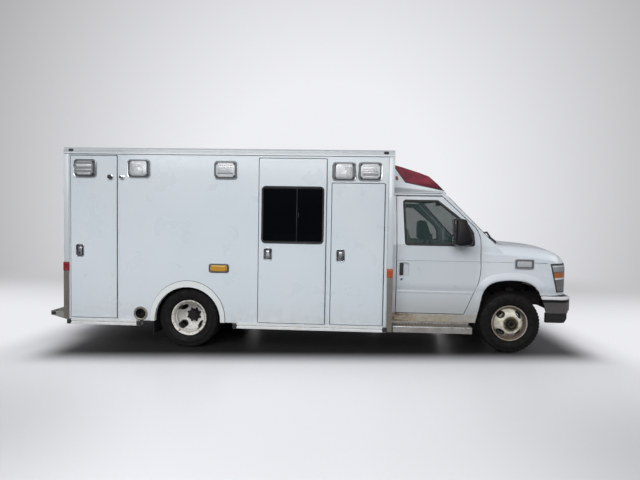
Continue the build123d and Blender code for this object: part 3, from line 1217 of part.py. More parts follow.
# ---------------------------------------------------------------- mirrors
with BuildPart() as mirror_right:
    outline = [
        (FA - 775, 1673), (FA - 639, 1664), (FA - 548, 1414), (FA - 572, 1345), (FA - 699, 1327), (FA - 778, 1350),
    ]
    with BuildSketch(Plane.XZ.offset(1090)) as face:
        with BuildLine():
            Polyline(*outline, close=True)
        make_face()
        fillet(face.vertices(), radius=20)
    extrude(face.sketch, amount=180)
    # two arms down to a foot on the door below the window
    rod((FA - 620, -1095, 1420), (FA - 540, -CAB_SIDE - 10, 1310), 12)
    rod((FA - 620, -1095, 1360), (FA - 540, -CAB_SIDE - 10, 1280), 12)
    with BuildSketch(Plane.YZ.offset(FA - 575)) as foot:
        with BuildLine():
            Polyline(
                (-SIDE_PROFILE[3][0], SIDE_PROFILE[3][1] + 100), (-SIDE_PROFILE[3][0] - 14, SIDE_PROFILE[3][1] + 105),
                (-SIDE_PROFILE[4][0] - 18, BELT - 10), (-SIDE_PROFILE[4][0] - RUN, BELT - 6), close=True,
            )
        make_face()
    extrude(foot.sketch, amount=75)
finish(mirror_right, "mirror_right")

with BuildPart() as mirror_left:
    mirror(mirror_right.part, about=MIRROR)
finish(mirror_left, "mirror_left")

# ---------------------------------------------------------------- inside the cab
DASH_X = (FA - 700, POST_X[0])
WHEEL_TILT = 25.0
STEER_AT = (FA - 800.0, 430.0, 1235.0)
LEAN = Vector(-cos(radians(WHEEL_TILT)), 0, sin(radians(WHEEL_TILT)))
COLUMN = 30.0
with BuildPart() as dashboard:
    with BuildSketch(Plane.XZ.offset(-900)) as face:
        with BuildLine():
            Line((DASH_X[0] + 60, 960), (DASH_X[0], 1120))
            ThreePointArc((DASH_X[0], 1120), (DASH_X[0] + 30, 1270), (DASH_X[0] + 120, 1312))
            Line((DASH_X[0] + 120, 1312), (DASH_X[1], 1326))
            Line((DASH_X[1], 1326), (DASH_X[1], 960))
            Line((DASH_X[1], 960), (DASH_X[0] + 60, 960))
        make_face()
    extrude(face.sketch, amount=1800)
    rod(Vector(*STEER_AT), Vector(*STEER_AT) - LEAN * 200, COLUMN + RUN, Mode.SUBTRACT)
finish(dashboard, "dashboard")

with BuildPart() as steering_wheel:
    wheel = Plane(STEER_AT, x_dir=(0, 1, 0), z_dir=LEAN)
    with BuildSketch(Plane(wheel.origin + wheel.x_dir * 190, x_dir=wheel.x_dir, z_dir=wheel.y_dir)) as ring:
        Circle(14)
    revolve(ring.sketch, axis=Axis(wheel.origin, LEAN))
    rod(Vector(*STEER_AT) + LEAN * 12, Vector(*STEER_AT) - LEAN * 30, 55)
    for turn in (0, 120, 240):
        way = wheel.x_dir.rotate(Axis((0, 0, 0), LEAN), turn + 90)
        rod(Vector(*STEER_AT), Vector(*STEER_AT) + way * 185, 9)
    rod(Vector(*STEER_AT) - LEAN * 20, Vector(*STEER_AT) - LEAN * 196, COLUMN)
finish(steering_wheel, "steering_wheel")

SEATS = (-480.0, 480.0)
with BuildPart() as seats:
    for y in SEATS:
        with BuildSketch(Plane.XZ.offset(-y - 260)) as side_face:
            with BuildLine():
                Polyline(
                    (MF + 260, 900), (MF + 800, 900), (MF + 830, 960), (MF + 800, 1030), (MF + 400, 1010),
                    (MF + 240, 1560), (MF + 205, 1640), (MF + 130, 1630), (MF + 140, 1540), (MF + 250, 1000), close=True,
                )
            make_face()
        extrude(side_face.sketch, amount=520)
        block((MF + 300, MF + 720), (y - 200, y + 200), (CAB_FLOOR[1], 900))
finish(seats, "seats")
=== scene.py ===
import json
import math

import bmesh
import bpy
from mathutils import Matrix, Vector


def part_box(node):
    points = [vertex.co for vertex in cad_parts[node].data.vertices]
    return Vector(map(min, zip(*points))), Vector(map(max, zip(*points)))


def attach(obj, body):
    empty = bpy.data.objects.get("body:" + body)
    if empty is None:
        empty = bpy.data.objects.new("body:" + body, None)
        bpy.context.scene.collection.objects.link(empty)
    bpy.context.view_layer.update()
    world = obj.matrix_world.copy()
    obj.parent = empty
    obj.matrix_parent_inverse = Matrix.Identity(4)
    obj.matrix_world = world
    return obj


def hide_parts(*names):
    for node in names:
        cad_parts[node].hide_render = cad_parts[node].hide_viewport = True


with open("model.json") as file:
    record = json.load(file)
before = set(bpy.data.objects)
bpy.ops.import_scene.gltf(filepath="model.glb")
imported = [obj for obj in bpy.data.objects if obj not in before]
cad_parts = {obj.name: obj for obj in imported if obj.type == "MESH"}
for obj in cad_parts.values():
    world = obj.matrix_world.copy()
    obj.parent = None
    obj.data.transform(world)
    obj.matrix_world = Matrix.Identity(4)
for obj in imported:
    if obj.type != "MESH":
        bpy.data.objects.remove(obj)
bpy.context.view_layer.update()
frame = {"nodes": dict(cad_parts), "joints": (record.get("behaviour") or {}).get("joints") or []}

X, Y, Z = Vector((1, 0, 0)), Vector((0, 1, 0)), Vector((0, 0, 1))
SIDES = ((-1, "right"), (1, "left"))


def V(*numbers):
    """A vector from its parts."""
    return Vector(numbers)


def mm(table):
    """Rows of lengths written in millimetres, as a list of tuples in metres."""
    if not isinstance(table, str):
        return table
    return [tuple(float(n) / 1000 for n in row.split()) for row in table.split(",")]


def circle(count, first, second, offset=0.0):
    """Directions evenly spread round a circle, from first towards second, offset by part of a step."""
    angles = [2 * math.pi * (n + offset) / count for n in range(count)]
    return [first * math.cos(a) + second * math.sin(a) for a in angles]


def add_object(name, data):
    """Puts a new object into the scene."""
    thing = bpy.data.objects.new(name, data)
    bpy.context.scene.collection.objects.link(thing)
    return thing


# ---------------------------------------------------------------- places read from the frame
def joint_at(name):
    return Vector(next(j for j in frame["joints"] if j["name"] == name)["pos_m"])


def ends(node, axis):
    """Lowest and highest value of a CAD node along one axis."""
    low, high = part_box(node)
    return low[axis], high[axis]


REAR = joint_at("roll_rear_right").x       # rear axle
FRONT = joint_at("roll_front_right").x     # front axle
HUB = joint_at("roll_front_right").z
MODULE_REAR, MODULE_FRONT = ends("module_roof", 0)
SIDE = ends("module_roof", 1)[1]           # outer skin of the module's side
DRIP, ROOF = ends("module_roof", 2)        # underside of the roof's side rail, and its top
SKIRT = ends("module_side_left", 2)[0]
CAB_SIDE = ends("front_fenders", 1)[1]
TYRE = (ends("tyre_front_right", 2)[1] - ends("tyre_front_right", 2)[0]) / 2
TYRE_WIDE = ends("tyre_front_right", 1)[1] - ends("tyre_front_right", 1)[0]

# ---------------------------------------------------------------- camera
EYE = V(0.342, -6.285, 1.573)
YAW, PITCH, ROLL = math.radians(-2.53), math.radians(2.18), math.radians(-1.0)
LENS, SENSOR = 23.625, 36.0                # mm


def make_camera():
    forward = V(math.sin(YAW) * math.cos(PITCH), math.cos(YAW) * math.cos(PITCH), -math.sin(PITCH))
    level = V(math.cos(YAW), -math.sin(YAW), 0)
    down = forward.cross(level)
    right = math.cos(ROLL) * level + math.sin(ROLL) * down
    up = math.sin(ROLL) * level - math.cos(ROLL) * down
    data = bpy.data.cameras.new("camera")
    data.lens, data.sensor_width, data.clip_end = LENS, SENSOR, 200.0
    camera = add_object("camera", data)
    camera.matrix_world = Matrix.Translation(EYE) @ Matrix((right, up, -forward)).transposed().to_4x4()
    bpy.context.scene.camera = camera


# ---------------------------------------------------------------- materials
class Value:
    """A node's output. Arithmetic on it adds further nodes."""

    def __init__(self, nodes, socket):
        self.nodes, self.socket = nodes, socket

    def span(self, low, high, to_low=0.0, to_high=1.0, kind="LINEAR"):
        """Maps the value from one range to another, held at both ends."""
        ranges = {"From Min": low, "From Max": high, "To Min": to_low, "To Max": to_high}
        return self.nodes.add("MapRange", "Result", {"Value": self, **ranges}, interpolation_type=kind)

    def smooth(self, *ranges):
        return self.span(*ranges, kind="SMOOTHSTEP")

    def between(self, low, high, soft):
        """1 where low < value < high, fading over soft on both sides."""
        return self.span(low - soft, low + soft) * self.span(high - soft, high + soft, 1, 0)


def with_operation(operation, swap=False):
    """A method of Value that adds one mathematical node."""
    def method(self, other=0.0):
        pair = (other, self) if swap else (self, other)
        return self.nodes.add("Math", 0, dict(enumerate(pair)), operation=operation)
    return method


for name, *how in (("__add__", "ADD"), ("__sub__", "SUBTRACT"), ("__rsub__", "SUBTRACT", True),
                   ("__mul__", "MULTIPLY"), ("__abs__", "ABSOLUTE"), ("root", "SQRT"), ("most", "MAXIMUM")):
    setattr(Value, name, with_operation(*how))


class Nodes:
    """Short names for the shader nodes that this file uses."""

    def __init__(self, tree, coords="Object"):
        self.tree = tree
        self.coords = self.add("TexCoord", coords)
        self.x, self.y, self.z = (self.add("SeparateXYZ", name, {0: self.coords}) for name in "XYZ")

    def put(self, socket, value):
        if isinstance(value, Value):
            self.tree.links.new(value.socket, socket)
        else:
            socket.default_value = (*value, 1) if socket.type == "RGBA" else value

    def add(self, kind, output, inputs={}, **settings):
        """Adds a node with its settings and inputs, and gives one of its outputs."""
        node = self.tree.nodes.new("ShaderNode" + kind)
        for name, value in settings.items():
            setattr(node, name, value)
        for socket, value in inputs.items():
            self.put(node.inputs[socket], value)
        return Value(self, node.outputs[output])

    def stretched(self, scale, turn=(0, 0, 0)):
        return self.add("Mapping", "Vector", {"Scale": scale, "Rotation": turn, "Vector": self.coords})

    def noise(self, scale, detail=3.0, rough=0.5, vector=None):
        return self.add("TexNoise", "Fac", {
            "Scale": scale, "Detail": detail, "Roughness": rough, "Vector": vector or self.coords})

    def cells(self, scale, vector=None, feature="F1"):
        inputs = {"Scale": scale, "Vector": vector or self.coords}
        return self.add("TexVoronoi", "Distance", inputs, feature=feature)

    def waves(self, scale, direction="X", distortion=0.0):
        inputs = {"Scale": scale, "Distortion": distortion, "Vector": self.coords}
        return self.add("TexWave", "Fac", inputs, bands_direction=direction)

    def facing_up(self):
        """1 on what faces straight up, -1 on what faces straight down."""
        return self.add("SeparateXYZ", "Z", {0: self.add("NewGeometry", "True Normal")})

    def mix(self, factor, a, b):
        return self.add("Mix", 2, {"Factor": factor, 6: a, 7: b}, data_type="RGBA")


M = {}      # the materials by name


class Paint(Nodes):
    """A material under construction, coloured layer by layer."""

    def __init__(self, name, rough=0.5, metal=0.0, color=(0.8, 0.8, 0.8), **more):
        M[name] = bpy.data.materials.new(name)
        M[name].use_nodes = True
        super().__init__(M[name].node_tree)
        self.shader = self.tree.nodes["Principled BSDF"]
        self.base = color
        self.set(Base_Color=color, Roughness=rough, Metallic=metal, **more)

    def set(self, **values):
        for name, value in values.items():
            self.put(self.shader.inputs[name.replace("_", " ")], value)
        return self

    def over(self, mask, color):
        """Lays a colour over what is there already, as far as the mask lets it."""
        self.base = self.mix(mask, self.base, color)
        return self.set(Base_Color=self.base)

    def undercoat(self, limit):
        """Paints what faces the road, below the limit, near-black."""
        down = self.facing_up().span(-0.92, -0.8, 1.0, 0.0)
        return self.over(down * self.z.span(limit, limit + 0.02, 1.0, 0.0), (0.012, 0.012, 0.013))

    def bump(self, height, distance, strength):
        inputs = {"Distance": distance, "Strength": strength, "Height": height}
        return self.set(Normal=self.add("Bump", "Normal", inputs))


def shade(color, *shares):
    """A colour with its channels scaled by one share, or by one each."""
    return tuple(c * k for c, k in zip(color, shares * 3))


def white_paint(name, color, stain, dirt_from=0.5):
    """White body paint: faint stains and run marks, hairline scratches, road dirt low down."""
    p = Paint(name, 0.3, 0.0, color, Coat_Weight=0.35, Coat_Roughness=0.12)
    p.over(p.noise(1.3, 4).span(0.35, 0.7), shade(color, 0.95, 0.975, 0.985))
    p.over(p.noise(1.0, 5, 0.6, p.stretched((26, 26, 1.3))).span(0.6, 0.78, 0, stain), (0.5, 0.51, 0.5))
    p.over(p.noise(7.0, 6, 0.65).span(0.62, 0.76, 0, stain * 0.8), (0.58, 0.57, 0.54))
    scratch = p.cells(5.0, p.stretched((1, 1, 2.2), (0, 0.6, 0)), "DISTANCE_TO_EDGE").span(0, 0.006, 0.35, 0)
    p.over(scratch * p.noise(2.1, 2).span(0.58, 0.66), (0.55, 0.57, 0.58))
    low = p.z.span(SKIRT - 0.05, dirt_from, 0.42, 0)
    p.over(low * p.noise(9.0, 7, 0.7).span(0.35, 0.75), (0.3, 0.26, 0.2))
    p.set(Roughness=p.noise(3.5, 5).span(0.3, 0.75, 0.24, 0.42))
    return p.bump(p.noise(1.1, 2), 0.004, 0.25)


def module_paint():
    """The module's paint, darkened towards the roof as painted shade; hinges, which stand out of the skin,
    are metal painted near-black, partly as the shade round them.
    """
    p = white_paint("module", (0.585, 0.635, 0.675), 0.19, 0.62)
    # painted shade: darker towards the roof
    p.over(p.z.span(1.1, 2.34, 0.0, 0.46), (0.33, 0.375, 0.4))
    # hinge knuckles standing proud of the skin: metal, painted near-black partly as the shade round them
    proud = abs(p.y).span(SIDE + 0.0036, SIDE + 0.004)
    p.over(proud, (0.085, 0.09, 0.095)).set(Metallic=proud * 0.6)
    p.undercoat(1.0)


def cab_paint():
    """The cab's paint, with rust at the foot of the door's rear pillar and along the sill, and painted shade
    over the door, above the belt, on faces turned up and above the crease.
    """
    p = white_paint("cab", (0.635, 0.675, 0.715), 0.18, 0.55)
    x, z = p.x, p.z
    # darker over the door, behind the front wheel: painted shade
    p.over(x.span(FRONT - 0.46, FRONT - 0.3, 0.3, 0.0), (0.3, 0.33, 0.345))
    lower = z.span(0.52, 0.745, 0.46, 0.0) * x.span(FRONT - 0.42, FRONT - 0.2, 1.0, 0.4)
    p.over(lower, (0.28, 0.275, 0.255))
    # painted shade: darker above the belt where the side leans in, on faces turned up, and in a band above
    # the crease
    p.over(z.span(1.331, 1.339, 0.0, 0.1), (0.34, 0.37, 0.4))
    p.over(p.facing_up().span(0.35, 0.85, 0.0, 0.24), (0.36, 0.4, 0.43))
    p.over(z.between(0.748, 0.83, 0.035) * 0.34, (0.24, 0.27, 0.3))
    sill = z.between(0.3, 0.462, 0.012) * x.span(FRONT - 0.42, FRONT - 0.36, 1, 0)
    p.over(sill * p.noise(6.0, 4).span(0.3, 0.7, 0.25, 0.62), (0.42, 0.35, 0.22))
    patch = p.noise(11.0, 8, 0.75, p.stretched((1.6, 1, 3.2))).span(0.44, 0.6)
    patch *= x.span(MODULE_FRONT + 0.06, MODULE_FRONT + 0.36, 1.0, 0.28)
    rust = p.mix(p.noise(38.0, 6, 0.7).span(0.4, 0.62), (0.085, 0.034, 0.012), (0.27, 0.135, 0.055))
    p.over(sill * patch, rust)
    seam = z.between(0.436, 0.47, 0.008) * x.span(MODULE_FRONT + 0.1, MODULE_FRONT + 0.34, 1.0, 0.0)
    seam *= p.noise(16.0, 6, 0.7).span(0.34, 0.52)
    p.over(seam, p.mix(p.noise(48.0, 4), (0.2, 0.085, 0.015), (0.075, 0.03, 0.012)))
    p.undercoat(0.7)


def cap_paint():
    """The cap's gel coat: its tuck-in above the gutter lies in shadow, painted in as a dark grey band."""
    p = white_paint("cap", (0.62, 0.655, 0.69), 0.16, 0.55)
    x, z = p.x, p.z
    under = 2.072 - (x - MODULE_FRONT) * 0.085 - z
    # painted shadow on the tuck-in under the lens
    p.over(under.span(-0.008, 0.016, 0.0, 0.72) * z.span(1.994, 2.000), (0.165, 0.18, 0.185))


def chrome(name, rough, color):
    p = Paint(name, rough, 1.0, color)
    p.set(Roughness=p.noise(14.0, 6).span(0.3, 0.75, rough * 0.7, rough * 2.2))
    p.over(p.noise(5.0, 5).span(0.35, 0.75, 0, 0.35), shade(color, 0.72))


def weathered_steel(name, color, dark, rough=0.3):
    """Stainless or mill-finished sheet, dulled by water marks and fine scratches."""
    p = Paint(name, rough, 0.85, color)
    p.over(p.noise(1.0, 6, 0.65, p.stretched((9, 9, 2.2))).span(0.38, 0.72), dark)
    p.set(Roughness=p.noise(60.0, 4, 0.6, p.stretched((1, 1, 14))).span(0.3, 0.7, rough * 0.8, rough * 1.5))
    if name == "panel":
        p.undercoat(0.81)


def plastic(name, color, rough=0.5, grain=900.0):
    p = Paint(name, rough, 0.0, color)
    p.over(p.noise(4.0, 5).span(0.4, 0.75, 0, 0.5), tuple(min(1.0, c * 1.6 + 0.003) for c in color))
    p.set(Roughness=p.noise(9.0, 4).span(0.3, 0.7, rough * 0.85, min(1.0, rough * 1.2)))
    p.bump(p.noise(grain, 2), 0.0003, 0.35)


def tyre_rubber():
    p = Paint("tyre", 0.8, 0.0, (0.0034, 0.0033, 0.0035), Specular_IOR_Level=0.22)
    p.over(p.noise(16.0, 6, 0.65).span(0.4, 0.72, 0, 0.55), (0.0115, 0.0105, 0.0098))
    p.set(Roughness=p.noise(22.0, 4).span(0.3, 0.7, 0.62, 0.92))
    p.bump(p.noise(300.0, 3), 0.0004, 0.4)


def wheel_paint(name, centre, clean, lip, hub, dirt, groove_end, middle, disc_depth):
    """Painted steel wheel: coloured lip, dark groove inside it that is partly painted shade, stained disc,
    rusty middle, and painted shade round the hand holes and inboard of the disc.
    """
    p = Paint(name, 0.5, 0.0, clean)
    dx, dz = p.x - centre, p.z - HUB
    radius = (dx * dx + dz * dz).root()
    p.over(p.noise(13.0, 6, 0.6).span(0.4, 0.74, 0.04, dirt), (0.3, 0.24, 0.15))
    p.over(p.noise(34.0, 7, 0.7).span(0.56, 0.7, 0, dirt), (0.1, 0.055, 0.025))
    # dark ring between lip and disc: partly rust, partly painted shade
    p.over(radius.between(0.178, groove_end, 0.005) * (0.5 + 0.55 * dirt), (0.045, 0.032, 0.02))
    foot = dz.span(-0.03, -0.17, 0.0, dirt) * p.noise(26.0, 6, 0.7).span(0.34, 0.62)
    p.over(foot, (0.11, 0.065, 0.03))
    # painted shade: a near-black ellipse round each cut hand hole
    hole_circle, half_long, half_wide = 0.153, 0.054, 0.034      # the disc's four hand holes
    for n in range(4):
        cos, sin = math.cos(math.radians(45 + 90 * n)), math.sin(math.radians(45 + 90 * n))
        ax, az = dx - hole_circle * cos, dz - hole_circle * sin
        along, out = (ax * -sin + az * cos) * (1 / half_long), (ax * cos + az * sin) * (1 / half_wide)
        p.over((along * along + out * out).span(0.8, 1.0, 1.0, 0.0), (0.01, 0.009, 0.008))
    stained = p.mix(p.noise(40.0, 5).span(0.45, 0.7), lip, (0.13, 0.085, 0.045))
    p.over(radius.span(groove_end, groove_end + 0.005), stained)
    ragged = radius + p.noise(30.0, 5) * 0.03
    p.over(ragged.span(middle, middle + 0.018, 1.0, 0.0), hub)
    # painted shade: everything inboard of the disc face is near-black
    p.over(abs(p.y).span(disc_depth - 0.004, disc_depth, 1.0, 0.0), (0.012, 0.011, 0.01))
    p.set(Roughness=p.noise(20.0, 5).span(0.3, 0.7, 0.38, 0.7))
    p.bump(p.noise(90.0, 6), 0.0012, 0.35)


def rusty_iron(name, color, rust):
    p = Paint(name, 0.75, 0.25, color)
    p.over(p.noise(9.0, 7, 0.7).span(0.62 - 0.2 * rust, 0.78 - 0.15 * rust), (0.115, 0.055, 0.026))
    p.bump(p.noise(120.0, 5), 0.001, 0.4)


def tread_plate():
    p = Paint("tread", 0.42, 0.8, (0.5, 0.49, 0.475))
    wear = p.noise(10.0, 7, 0.7).span(0.42, 0.66)
    p.over(wear, (0.36, 0.34, 0.31))
    worn_top = p.mix(wear, (0.19, 0.175, 0.155), (0.085, 0.07, 0.055))
    p.over(p.facing_up().span(0.75, 0.9), worn_top)


def window_glass(name, color, alpha, shine):
    """Tinted safety glass, thin enough to be a plain see-through sheet."""
    p = Paint(name, 0.03, 0.0, color, Alpha=alpha, Specular_IOR_Level=shine)
    p.set(Roughness=p.noise(6.0, 5).span(0.45, 0.8, 0.02, 0.1))


def red_lens():
    """Ribbed red lens, darker along its foot."""
    p = Paint("red", 0.16, 0.0, (0.06, 0.004, 0.009),
              Transmission_Weight=0.25, Specular_IOR_Level=0.32, Coat_Weight=0.12)
    upper = p.mix(p.noise(7.0, 4).span(0.35, 0.7), (0.15, 0.008, 0.022), (0.29, 0.024, 0.052))
    p.over(p.z.span(2.05, 2.15), upper)
    p.bump(p.waves(34.0, "X", 0.3), 0.0015, 0.5)


def ribbed_lens(name, color):
    p = Paint(name, 0.15, 0.0, color, Transmission_Weight=0.2, Coat_Weight=0.6)
    p.over(p.waves(60.0), shade(color, 0.6))
    p.bump(p.waves(60.0), 0.001, 0.6)


def reflector():
    """The silvered inside of a lamp, seen through its lens."""
    p = Paint("reflector", 0.22, 0.75, (0.8, 0.83, 0.86))
    p.over(p.waves(26.0, "Z"), (0.5, 0.53, 0.56)).bump(p.waves(26.0, "Z"), 0.002, 0.5)


def lamp_white():
    """The white core of a lamp that is switched off."""
    p = Paint("bulb", 0.2, 0.0, (0.5, 0.515, 0.53), Coat_Weight=1.0)
    p.over(p.noise(40.0, 3), (0.36, 0.375, 0.39))


def fluted_cover():
    """A clear cover with fine upright flutes, see-through enough to show the bowl."""
    p = Paint("fluted", 0.05, 0.0, (0.86, 0.88, 0.9), Specular_IOR_Level=0.7)
    p.set(Alpha=p.waves(62.0).span(0.2, 0.8, 0.16, 0.4))
    p.bump(p.waves(62.0), 0.0012, 0.6)


def bumper_chrome():
    """Painted reflection of a chromed bumper: a bright painted highlight on the top lip, a thin dark line
    under it, then the dark ground that it mirrors.
    """
    p = Paint("bumper", 0.14, 1.0, (0.32, 0.305, 0.3))
    z = p.z + p.noise(2.2, 3) * 0.016
    # painted highlight along the top lip, and a painted dark reflection line under it
    lip = z.span(0.692, 0.702)
    p.over(p.noise(5.0, 5), (0.21, 0.195, 0.19))
    p.over(z.span(0.655, 0.667), (0.05, 0.05, 0.055)).over(lip, (0.82, 0.83, 0.84))
    p.set(Metallic=lip.span(0, 1, 1.0, 0.3), Roughness=p.noise(16.0, 6).span(0.3, 0.75, 0.1, 0.26))


def headlamp_finish():
    """Headlamp behind its cover: pebbled lower bowl, white strip, amber band, silver bowl, a painted
    highlight near the top, dark frame.
    """
    p = Paint("headlamp", 0.28, 0.35, (0.42, 0.435, 0.44), Coat_Weight=1.0, Coat_Roughness=0.03)
    x, z = p.x, p.z
    p.over(p.cells(95.0).span(0.1, 0.55), (0.1, 0.105, 0.11))
    amber = p.mix(p.waves(40.0), (0.62, 0.17, 0.035), (0.42, 0.1, 0.02))
    silver = p.mix(p.waves(24.0, "Z", 0.4), (0.52, 0.55, 0.58), (0.16, 0.17, 0.185))
    # the pale band from 1.088 is a painted highlight on the chrome near the top
    for start, stop, color in (
            (0.928, 0.934, (0.8, 0.82, 0.83)), (0.95, 0.956, amber), (1.015, 1.021, (0.14, 0.145, 0.15)),
            (1.03, 1.036, silver), (1.088, 1.092, (0.78, 0.8, 0.82)), (1.104, 1.11, (0.045, 0.047, 0.05))):
        p.over(z.span(start, stop), color)
    ahead_of_edge = (x - (FRONT + 0.462)) + (z - 1.13) * 0.265
    frame_color = (0.04, 0.042, 0.045)
    p.over(ahead_of_edge.span(0.018, 0.026, 1, 0), frame_color)
    p.over(z.span(0.782, 0.79, 1, 0), frame_color)
    p.over(abs(p.y).span(0.662, 0.668, 1, 0), frame_color)
    p.bump(p.waves(24.0, "Z") * p.waves(60.0), 0.002, 0.4)


def mirror_shell():
    """Grained black shell with a polished lower corner."""
    p = Paint("shell", 0.42, 0.0, (0.004, 0.0042, 0.005), Specular_IOR_Level=0.28)
    low = (p.z + p.x * -0.45).span(0.555, 0.575, 1.0, 0.0)
    p.over(low, (0.0025, 0.0027, 0.0035)).set(Roughness=low.span(0, 1, 0.5, 0.16))
    p.bump(p.noise(700.0, 2), 0.0003, 0.3)


def cloth_vinyl(name, color):
    """Seat vinyl: leather grain, slightly greyed by use."""
    p = Paint(name, 0.5, 0.0, color, Sheen_Weight=0.15)
    p.over(p.noise(5.0, 5).span(0.35, 0.75), shade(color, 0.78))
    p.bump(p.cells(420.0), 0.0006, 0.5)


for finish in (module_paint, cab_paint, cap_paint, tread_plate, mirror_shell, tyre_rubber, fluted_cover,
               lamp_white, red_lens, bumper_chrome, headlamp_finish, reflector):
    finish()
for finish, *rows in (
    # roof and trim: darker copies of the white paint, painted shade against the light from above
    (white_paint, ("roof", (0.34, 0.365, 0.385), 0.35), ("skirt", (0.66, 0.68, 0.68), 0.25),
     ("trim", (0.5, 0.535, 0.56), 0.35)),
    (weathered_steel, ("panel", (0.56, 0.57, 0.58), (0.42, 0.43, 0.44), 0.45),
     ("tank", (0.055, 0.052, 0.05), (0.1, 0.085, 0.07), 0.5),
     ("stainless", (0.36, 0.335, 0.3), (0.215, 0.19, 0.16)),
     ("lozenge", (0.62, 0.61, 0.59), (0.45, 0.42, 0.38))),
    (rusty_iron, ("frame", (0.018, 0.018, 0.018), 0.45), ("axle", (0.022, 0.02, 0.018), 0.7),
     ("engine", (0.1, 0.1, 0.1), 0.15), ("hub", (0.0045, 0.004, 0.0035), 0.25),
     ("nut", (0.022, 0.02, 0.018), 0.35), ("brass_nut", (0.2, 0.175, 0.095), 0.3),
     ("exhaust", (0.006, 0.006, 0.007), 0.1)),
    (chrome, ("chrome", 0.1, (0.66, 0.68, 0.7)), ("satin", 0.24, (0.48, 0.5, 0.52)),
     ("dark_chrome", 0.22, (0.16, 0.17, 0.19)), ("bright", 0.34, (0.34, 0.355, 0.37)),
     ("mirror", 0.03, (0.11, 0.118, 0.125))),
    (plastic, ("gasket", (0.05, 0.056, 0.065), 0.34), ("black", (0.014, 0.0145, 0.016)),
     ("flap", (0.0045, 0.0045, 0.005), 0.75, 500.0), ("trim_black", (0.01, 0.01, 0.011), 0.38),
     ("dash", (0.045, 0.047, 0.048), 0.6), ("rubber", (0.016, 0.016, 0.017), 0.72, 500.0),
     ("window_bar", (0.0022, 0.0024, 0.0028), 0.9), ("liner", (0.46, 0.455, 0.43), 0.7, 300.0)),
    (wheel_paint, ("wheel_front", FRONT, (0.76, 0.735, 0.65), (0.46, 0.41, 0.33), (0.06, 0.05, 0.025),
                   0.72, 0.213, 0.098, 0.8),
     ("wheel_rear", REAR, (0.78, 0.78, 0.755), (0.72, 0.7, 0.66), (0.028, 0.024, 0.02),
      0.26, 0.192, 0.086, 0.915)),
    (cloth_vinyl, ("seat", (0.62, 0.61, 0.575)), ("piping", (0.2, 0.195, 0.18))),
    (window_glass, ("clear", (0.9, 0.92, 0.94), 0.16, 0.6), ("cab_glass", (0.026, 0.05, 0.046), 0.4, 0.5),
     ("dark_glass", (0.0008, 0.0012, 0.002), 0.975, 0.16)),
    (ribbed_lens, ("amber", (0.62, 0.2, 0.012)), ("yellow", (0.7, 0.37, 0.035)),
     ("orange", (0.55, 0.105, 0.018)), ("crimson", (0.3, 0.014, 0.02))),
):
    for row in rows:
        finish(*row)


# the finish of each CAD node; {} stands for right and left
NODE_FINISH = """
roof: module_roof
module: module_side_{} module_end_walls entry_door rear_door_{}
module: locker_door_{}_front locker_door_{}_rear locker_door_left_mid
skirt: skirt_trim
cab: cab_shell front_fenders hood cab_door_{}
cap: roof_cap
panel: module_floor lockers_{}
frame: chassis_frame cab_floor
axle: front_axle rear_axle knuckle_{}
engine: engine_block
tank: fuel_tank
exhaust: exhaust
stainless: corner_guards
tread: rear_step running_boards
chrome: grille
bumper: front_bumper
satin: body_lamps
flap: valance_and_flaps
black: mirror_{}
dash: dashboard steering_wheel
seat: seats
headlamp: headlamps
amber: marker_lamps
red: lightbar_lens
cab_glass: windscreen cab_glass_{}
dark_glass: entry_window rear_window_{}
wheel_front: wheel_front_{}
wheel_rear: wheels_rear_{}
tyre: tyre_front_{} tyres_rear_{}
"""
for line in NODE_FINISH.strip().splitlines():
    finish, *members = line.replace(":", "").split()
    for member in members:
        for _, label in SIDES:
            slots = frame["nodes"][member.format(label)].data.materials
            slots.clear()
            slots.append(M[finish])


# ---------------------------------------------------------------- shaping
class Face:
    """A flat working face: u and v lie in it, w points out of the vehicle."""

    def __init__(self, origin, u, v, w):
        self.origin, self.u, self.v, self.w = origin, u, v, w

    def at(self, a, b, c):
        return self.origin + self.u * a + self.v * b + self.w * c


def side_face(side, depth):
    """The face of one side of the vehicle: side is -1 for the right-hand one."""
    return Face(Y * side * depth, X, Z, Y * side)


def rear_face():
    return Face(X * MODULE_REAR, Y, Z, -X)


